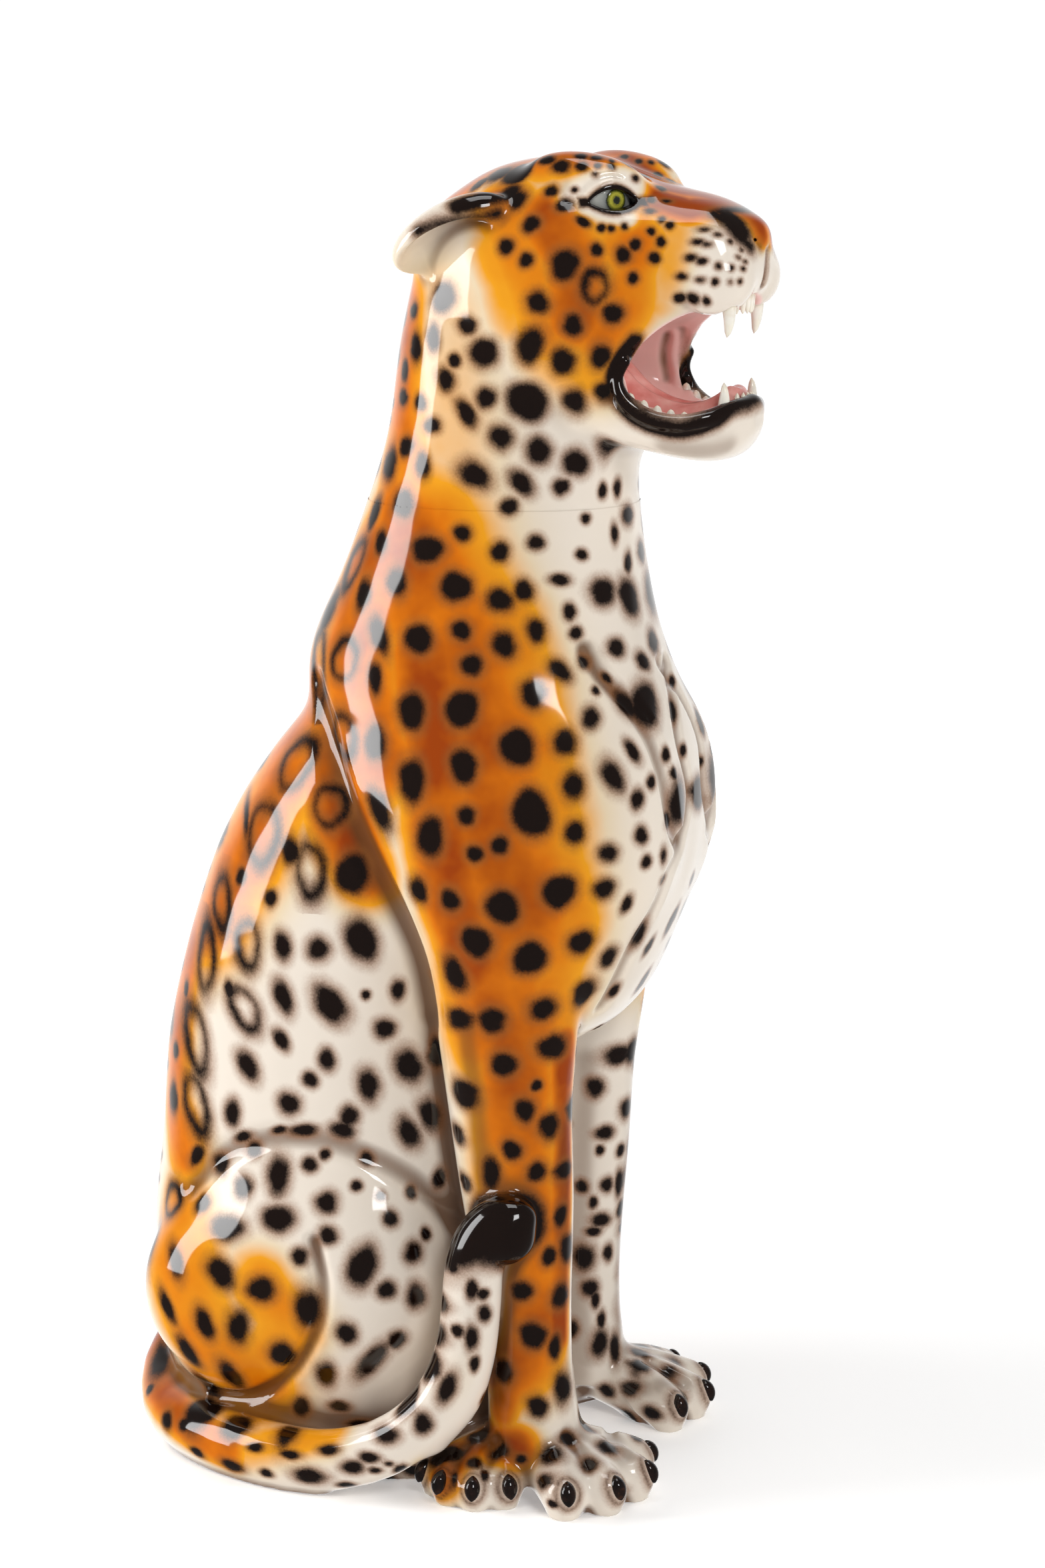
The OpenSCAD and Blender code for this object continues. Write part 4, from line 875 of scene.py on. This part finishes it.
def shape(name, points, faces, material, node, slot, normals=None, **layers):
    """A mesh of the scene in the place of a CAD node. Points in millimetres."""
    mesh = bpy.data.meshes.new(name)
    mesh.from_pydata((points*MM).tolist(), [], faces)
    for layer, values in layers.items():
        mesh.attributes.new(layer, "FLOAT", "POINT").data.foreach_set("value", values.astype(np.float32))
    mesh.materials.append(material)
    mesh.shade_smooth()
    if normals is not None:
        mesh.normals_split_custom_set_from_vertices(normals.tolist())
    obj = bpy.data.objects.new(name, mesh)
    bpy.context.scene.collection.objects.link(obj)
    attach(obj, "root")
    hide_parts(node)


def piece(name, points, quads, material, node, slot, normals, **layers):
    """The part of a skin that some quads cover."""
    used, numbers = np.unique(quads, return_inverse=True)
    faces = numbers.reshape(quads.shape).tolist()
    layers = {layer: values[used] for layer, values in layers.items()}
    shape(name, points[used], faces, material, node, slot, normals[used], **layers)


for number, node in enumerate(SKINS):
    piece(node + "_skin", points, quads[owner == number], coat_glaze, node, "spotted_glaze", normals,
          coat=coat, spot=spot, shade=shade, pink=pink)

# Eyes: balls of clay set in the sockets before the lids are drawn over them, each with a raised cornea.
# The iris is painted by hand on the bisque, yellow-green round a dark pupil, on a grey-white ball.
GAZE = (0.80, 0.60, -0.02)
IRIS, PUPIL, CORNEA = 6.2, 2.0, 0.8
SPOKES = 48
STREAK = 1.11
PAINTED = 20.0
# Painted eye glaze: a wet-looking bright iris with a dark line at its edge, a little streaky.
eye_glaze, tree, shader = glazed("painted_eye_gloss_glaze")
place = add(tree, "TexCoord").outputs["Object"]
radius = add(tree, "Attribute", attribute_name="from_gaze").outputs["Fac"]
streaks = add(tree, "TexNoise", [("Vector", place)], inputs={"Scale": 1/(STREAK*MM), "Detail": 2})
blur = add(tree, "Math", [(0, streaks.outputs["Fac"])], operation="MULTIPLY_ADD", inputs={1: 1.2, 2: -0.6})
blur = add(tree, "Math", [(0, blur.outputs[0]), (1, radius)], operation="ADD")
blur = add(tree, "Math", [(0, blur.outputs[0])], operation="DIVIDE", inputs={1: PAINTED})
paint = add(tree, "ValToRGB", [("Fac", blur.outputs[0])], stops=[
    (0.0, "20241f"), (PUPIL/PAINTED, "2c3029"), (PUPIL/PAINTED + 0.04, "8d8a30"), (0.2, "b2ab3c"),
    (0.27, "6d7028"), (IRIS/PAINTED + 0.01, "12100c"), (IRIS/PAINTED + 0.05, "8e918d"), (0.6, "bdbdb6")])
tree.links.new(paint.outputs["Color"], shader.inputs["Base Color"])
rings = np.radians(np.concatenate([np.linspace(0, 30, 16), np.linspace(36, 176, 24)]))
turns = np.linspace(0, 2*math.pi, SPOKES, endpoint=False)
for side, name in ((1, "eye_left"), (-1, "eye_right")):
    ball = eyes[side][0]
    axis = unit((GAZE[0], side*GAZE[1], GAZE[2]))
    flat = unit(np.cross(axis, (0, 0, 1)))
    out, far = [ball + (EYE_RADIUS + CORNEA)*axis], [0.0]
    for angle in rings[1:]:
        distance = EYE_RADIUS + CORNEA*smooth_step(8.5, 5.5, EYE_RADIUS*angle)
        for turn in turns:
            spoke = math.cos(turn)*flat + math.sin(turn)*np.cross(axis, flat)
            out.append(ball + distance*(math.cos(angle)*axis + math.sin(angle)*spoke))
            far.append(EYE_RADIUS*math.sin(min(angle, math.pi/2)))
    faces = [(0, 1 + k, 1 + (k + 1) % SPOKES) for k in range(SPOKES)]
    for ring in range(len(rings) - 2):
        first = 1 + SPOKES*ring
        for k in range(SPOKES):
            n = (k + 1) % SPOKES
            faces.append((first + k, first + SPOKES + k, first + SPOKES + n, first + n))
    last = 1 + SPOKES*(len(rings) - 2)
    faces.append(tuple(last + k for k in reversed(range(SPOKES))))
    shape(name + "_ball", turned(np.array(out), -HEAD_TURN), faces, eye_glaze, name, "eye_glaze",
          from_gaze=np.array(far))

# Teeth: cones and pegs rolled from clay and luted into the gums one by one, then dipped in clear glaze.
# Six small incisors stand in front of each jaw, long canines beside them, and beads in the lower gutter.
ROUND = 14
BLOTCH = 3.85
CANINE_Y, INCISOR_GAP = 24, 5.1
# Ivory gloss glaze: warm white teeth that turn tan where they leave the gum.
tooth_glaze, tree, shader = glazed("ivory_gloss_glaze")
place = add(tree, "TexCoord").outputs["Object"]
along = add(tree, "Attribute", attribute_name="along").outputs["Fac"]
cloud = add(tree, "TexNoise", [("Vector", place)], inputs={"Scale": 1/(BLOTCH*MM), "Detail": 3})
depth = add(tree, "Math", [(0, cloud.outputs["Fac"])], operation="MULTIPLY_ADD", inputs={1: 0.5, 2: -0.25})
depth = add(tree, "Math", [(0, depth.outputs[0]), (1, along)], operation="ADD", use_clamp=True)
paint = add(tree, "ValToRGB", [("Fac", depth.outputs[0])], stops=[
    (0.0, "c9a184"), (0.22, "e6d9c2"), (0.6, "f4efe4"), (1.0, "f2ead6")])
tree.links.new(paint.outputs["Color"], shader.inputs["Base Color"])


def tooth(path, widths):
    """A tooth as rings round a bent line, closed at both ends: points, faces and the way along it."""
    path, widths = np.array(path, float), np.array(widths, float)
    tangents = unit(np.gradient(path, axis=0))
    out, faces, way = [], [], []
    for k, (centre, tangent, width) in enumerate(zip(path, tangents, widths)):
        flat = unit(np.cross(tangent, (0, 1, 0)))
        other = np.cross(tangent, flat)
        for turn in np.linspace(0, 2*math.pi, ROUND, endpoint=False):
            out.append(centre + width*(math.cos(turn)*flat + math.sin(turn)*other))
            way.append(k/(len(path) - 1))
    for k in range(len(path) - 1):
        for j in range(ROUND):
            n = (j + 1) % ROUND
            faces.append((ROUND*k + j, ROUND*k + n, ROUND*(k + 1) + n, ROUND*(k + 1) + j))
    faces.append(tuple(reversed(range(ROUND))))
    faces.append(tuple(ROUND*(len(path) - 1) + j for j in range(ROUND)))
    return np.array(out), faces, np.array(way)


def teeth(name, row):
    """A node's teeth as one piece."""
    out, faces, way, count = [], [], [], 0
    for path, widths in row:
        p, f, a = tooth(path, widths)
        out.append(p)
        faces += [tuple(n + count for n in face) for face in f]
        way.append(a)
        count += len(p)
    shape(name + "_glazed", turned(np.vstack(out), -HEAD_TURN), faces, tooth_glaze, name, "tooth_glaze",
          along=np.hstack(way))


steps = np.linspace(0, 1, 12)
bow = np.sqrt(np.clip(1 - steps**2.2, 0, 1))
for side, word in ((1, "left"), (-1, "right")):
    fang = [(151 + 3*math.sin(2.2*t) - 2.0*t*t, side*(CANINE_Y - 1.0*t), 793 - 32*t) for t in steps]
    teeth("upper_canine_" + word, [(fang, 0.2 + 5.2*bow*(1 - 0.25*steps))])
    fang = [(148 + 2.5*math.sin(2.2*t), side*(CANINE_Y - 0.5*t), 704 + 29*t) for t in steps]
    teeth("lower_canine_" + word, [(fang, 0.2 + 4.8*bow*(1 - 0.25*steps))])
    beads = []
    for s in np.linspace(0, 1, 6):
        root = np.array((136 - 40*s, side*(32 + 14*s), 703 + 12*s*s))
        beads.append((root + np.outer(steps, (0, 0, 11.5)), 0.2 + 3.6*bow))
    teeth("lower_molars_" + word, beads)
for name, front, root, end in (("upper_incisors", 157, 793, 775), ("lower_incisors", 158, 708, 726)):
    row = []
    for k in range(6):
        y = INCISOR_GAP*(k - 2.5)
        row.append(([(front - 0.02*y*y, y, root + (end - root)*t) for t in steps], 0.2 + 2.4*bow))
    teeth(name, row)

# Tongue: a strip of clay pressed into the jaw while damp, with a groove drawn down its middle.
# It is sprayed pink with the mouth and glazed with it.
FLUSH = 16.7
tongue = Clay((40, -40, 690), (170, 40, 800), voxel=1.0)
p, c = casting("tongue")
p = turned(p, HEAD_TURN)
tongue.depth = tongue.distance(p, 6, triangles=c)
tongue.depth = tongue.soften(1.6, 1.6) - np.float32(0.6)
groove = []
for station in np.linspace(p[:, 0].min() + 4, p[:, 0].max() - 6, 9):
    column = tongue.depth[int(round(station)) - tongue.start[0], -tongue.start[1], :]
    inside = np.flatnonzero(column < 0)
    if len(inside):
        groove.append((station, 0, tongue.axes[2][inside[-1]]))
tongue.stroke(curve(groove), radius=7, height=-2.4)
tongue_points, tongue_quads = tongue.mesh()
# Pink gloss glaze: fleshy rose that pales and deepens in broad flushes.
tongue_glaze, tree, shader = glazed("pink_gloss_glaze")
place = add(tree, "TexCoord").outputs["Object"]
cloud = add(tree, "TexNoise", [("Vector", place)], inputs={"Scale": 1/(FLUSH*MM), "Detail": 4})
# The tongue's pinks are painted paler than their glaze, as painted light where the mouth lies in shade.
paint = add(tree, "ValToRGB", [("Fac", cloud.outputs["Fac"])], stops=[
    (0.3, "d98078"), (0.55, "eba59c"), (0.75, "f4c4bb")])
tree.links.new(paint.outputs["Color"], shader.inputs["Base Color"])
piece("tongue_glazed", turned(tongue_points, -HEAD_TURN), tongue_quads, tongue_glaze, "tongue", "pink_glaze",
      turned(tongue.slope(tongue_points), -HEAD_TURN))

# Claws: almonds of clay pressed into the ends of the toes, one group on each paw, and painted black.
# The glaze over them is thick enough to round their edges by about a millimetre.
BREAK = 5.56
GLAZE_COAT = 1.1
# Black gloss glaze: nearly black and wet-looking, breaking to brown in places.
claw_glaze, tree, shader = glazed("black_gloss_glaze")
place = add(tree, "TexCoord").outputs["Object"]
cloud = add(tree, "TexNoise", [("Vector", place)], inputs={"Scale": 1/(BREAK*MM), "Detail": 3})
paint = add(tree, "ValToRGB", [("Fac", cloud.outputs["Fac"])], stops=[
    (0.35, "120c0a"), (0.62, "241612"), (0.85, "4a2c1a")])
tree.links.new(paint.outputs["Color"], shader.inputs["Base Color"])
for name in CLAWS:
    p, c = casting(name)
    claw = Clay(p.min(0) - 8, p.max(0) + 8, voxel=0.8)
    claw.depth = claw.distance(p, 5, triangles=c) - np.float32(GLAZE_COAT)
    claw_points, claw_quads = claw.mesh()
    piece(name + "_glazed", claw_points, claw_quads, claw_glaze, name, "claw_glaze", claw.slope(claw_points))

# Base slab: a rolled slab of clay that closes the seat, luted in from below, with a vent for the firing.
# It is wiped clean of glaze so that it doesn't stick in the kiln.
SPECKLE = 11.1
# Bare fired clay: matt, warm buff with a faint mottle.
bisque, tree, shader = glazed("bare_fired_clay")
shader.inputs["Roughness"].default_value = 0.85
place = add(tree, "TexCoord").outputs["Object"]
cloud = add(tree, "TexNoise", [("Vector", place)], inputs={"Scale": 1/(SPECKLE*MM), "Detail": 5})
paint = add(tree, "ValToRGB", [("Fac", cloud.outputs["Fac"])], stops=[(0.3, "cdb9a0"), (0.7, "e2d3bf")])
tree.links.new(paint.outputs["Color"], shader.inputs["Base Color"])
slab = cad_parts["base_slab"]
slab.data.materials.clear()
slab.data.materials.append(bisque)

# Studio: a white paper sweep and soft light from large boxes, with the camera where the photograph's was.
# Behind the figure the studio is white; to the sides it is darker, so that the gloss mirrors the boxes.
# The floor and the fill light are kept out of reflections, as the photograph's dark spots mirror neither.
BACKDROP = (AHEAD[0], AHEAD[1], 0)
SMUDGE = 667
FLOOR_HALF = 9
floor_mesh = bpy.data.meshes.new("floor")
corners = [(i*FLOOR_HALF, j*FLOOR_HALF, 0) for i, j in ((-1, -1), (1, -1), (1, 1), (-1, 1))]
floor_mesh.from_pydata(corners, [], [(0, 1, 2, 3)])
floor = bpy.data.objects.new("floor", floor_mesh)
bpy.context.scene.collection.objects.link(floor)
floor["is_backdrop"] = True
floor.visible_glossy = False
# White paper: matt, with painted light: it glows more and more towards the backdrop, so that its far edge is
# lost.
paper, tree, shader = glazed("white_paper_sweep")
shader.inputs["Roughness"].default_value = 0.6
place = add(tree, "TexCoord").outputs["Object"]
cloud = add(tree, "TexNoise", [("Vector", place)], inputs={"Scale": 1/(SMUDGE*MM), "Detail": 2})
paint = add(tree, "ValToRGB", [("Fac", cloud.outputs["Fac"])], stops=[(0.3, "f4f4f4"), (0.7, "ffffff")])
tree.links.new(paint.outputs["Color"], shader.inputs["Base Color"])
shader.inputs["Emission Color"].default_value = (1, 1, 1, 1)
far = add(tree, "VectorMath", [(0, place)], operation="DOT_PRODUCT", inputs={1: BACKDROP})
glow = add(tree, "MapRange", [("Value", far.outputs["Value"])], interpolation_type="SMOOTHSTEP",
           inputs={"From Min": 0.0, "From Max": 2.2, "To Min": 0.3, "To Max": 1.0})
tree.links.new(glow.outputs[0], shader.inputs["Emission Strength"])
floor_mesh.materials.append(paper)
world = bpy.data.worlds.new("studio")
bpy.context.scene.world = world
world.use_nodes = True
tree = world.node_tree
way = add(tree, "TexCoord").outputs["Generated"]
behind = add(tree, "VectorMath", [(0, way)], operation="DOT_PRODUCT", inputs={1: BACKDROP})
glow = add(tree, "MapRange", [("Value", behind.outputs["Value"])], interpolation_type="SMOOTHSTEP",
           inputs={"From Min": 0.35, "From Max": 0.85, "To Min": 0.14, "To Max": 1.05})
tree.links.new(glow.outputs[0], tree.nodes["Background"].inputs["Strength"])
tree.nodes["Background"].inputs["Color"].default_value = (1, 1, 1, 1)
bpy.context.scene.view_settings.view_transform = "Standard"


def softbox(name, place, aim, width, height, power):
    """A rectangular light that faces a point, in metres and watts."""
    light = bpy.data.lights.new(name, "AREA")
    light.shape = "RECTANGLE"
    light.size, light.size_y, light.energy = width, height, power
    box = bpy.data.objects.new(name, light)
    box.location = place
    box.rotation_euler = (Vector(aim) - Vector(place)).to_track_quat("-Z", "Y").to_euler()
    bpy.context.scene.collection.objects.link(box)
    return box


softbox("left", (-1.7, -0.75, 0.85), (0, 0, 0.5), width=0.75, height=1.4, power=28)
softbox("front", (1.5, -2.0, 2.1), (0, 0, 0.5), width=0.7, height=0.7, power=22)
softbox("top", (0.1, -0.2, 2.3), (0, 0, 0.4), width=0.9, height=0.9, power=11)
fill = softbox("right", (2.1, -0.5, 0.8), (0, 0, 0.5), width=1.6, height=1.8, power=14)
fill.visible_glossy = False

SENSOR = 36
camera = bpy.data.objects.new("camera", bpy.data.cameras.new("camera"))
bpy.context.scene.collection.objects.link(camera)
bpy.context.scene.camera = camera
camera.location = CAMERA*MM
camera.rotation_euler = (math.radians(90 - PITCH), 0, math.radians(HEADING))
camera.data.sensor_width = SENSOR
camera.data.lens = SENSOR*LENS/PHOTO_HEIGHT

size = {"cad": [list(corner) for corner in cad_box], "visual": [list(corner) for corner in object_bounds()]}
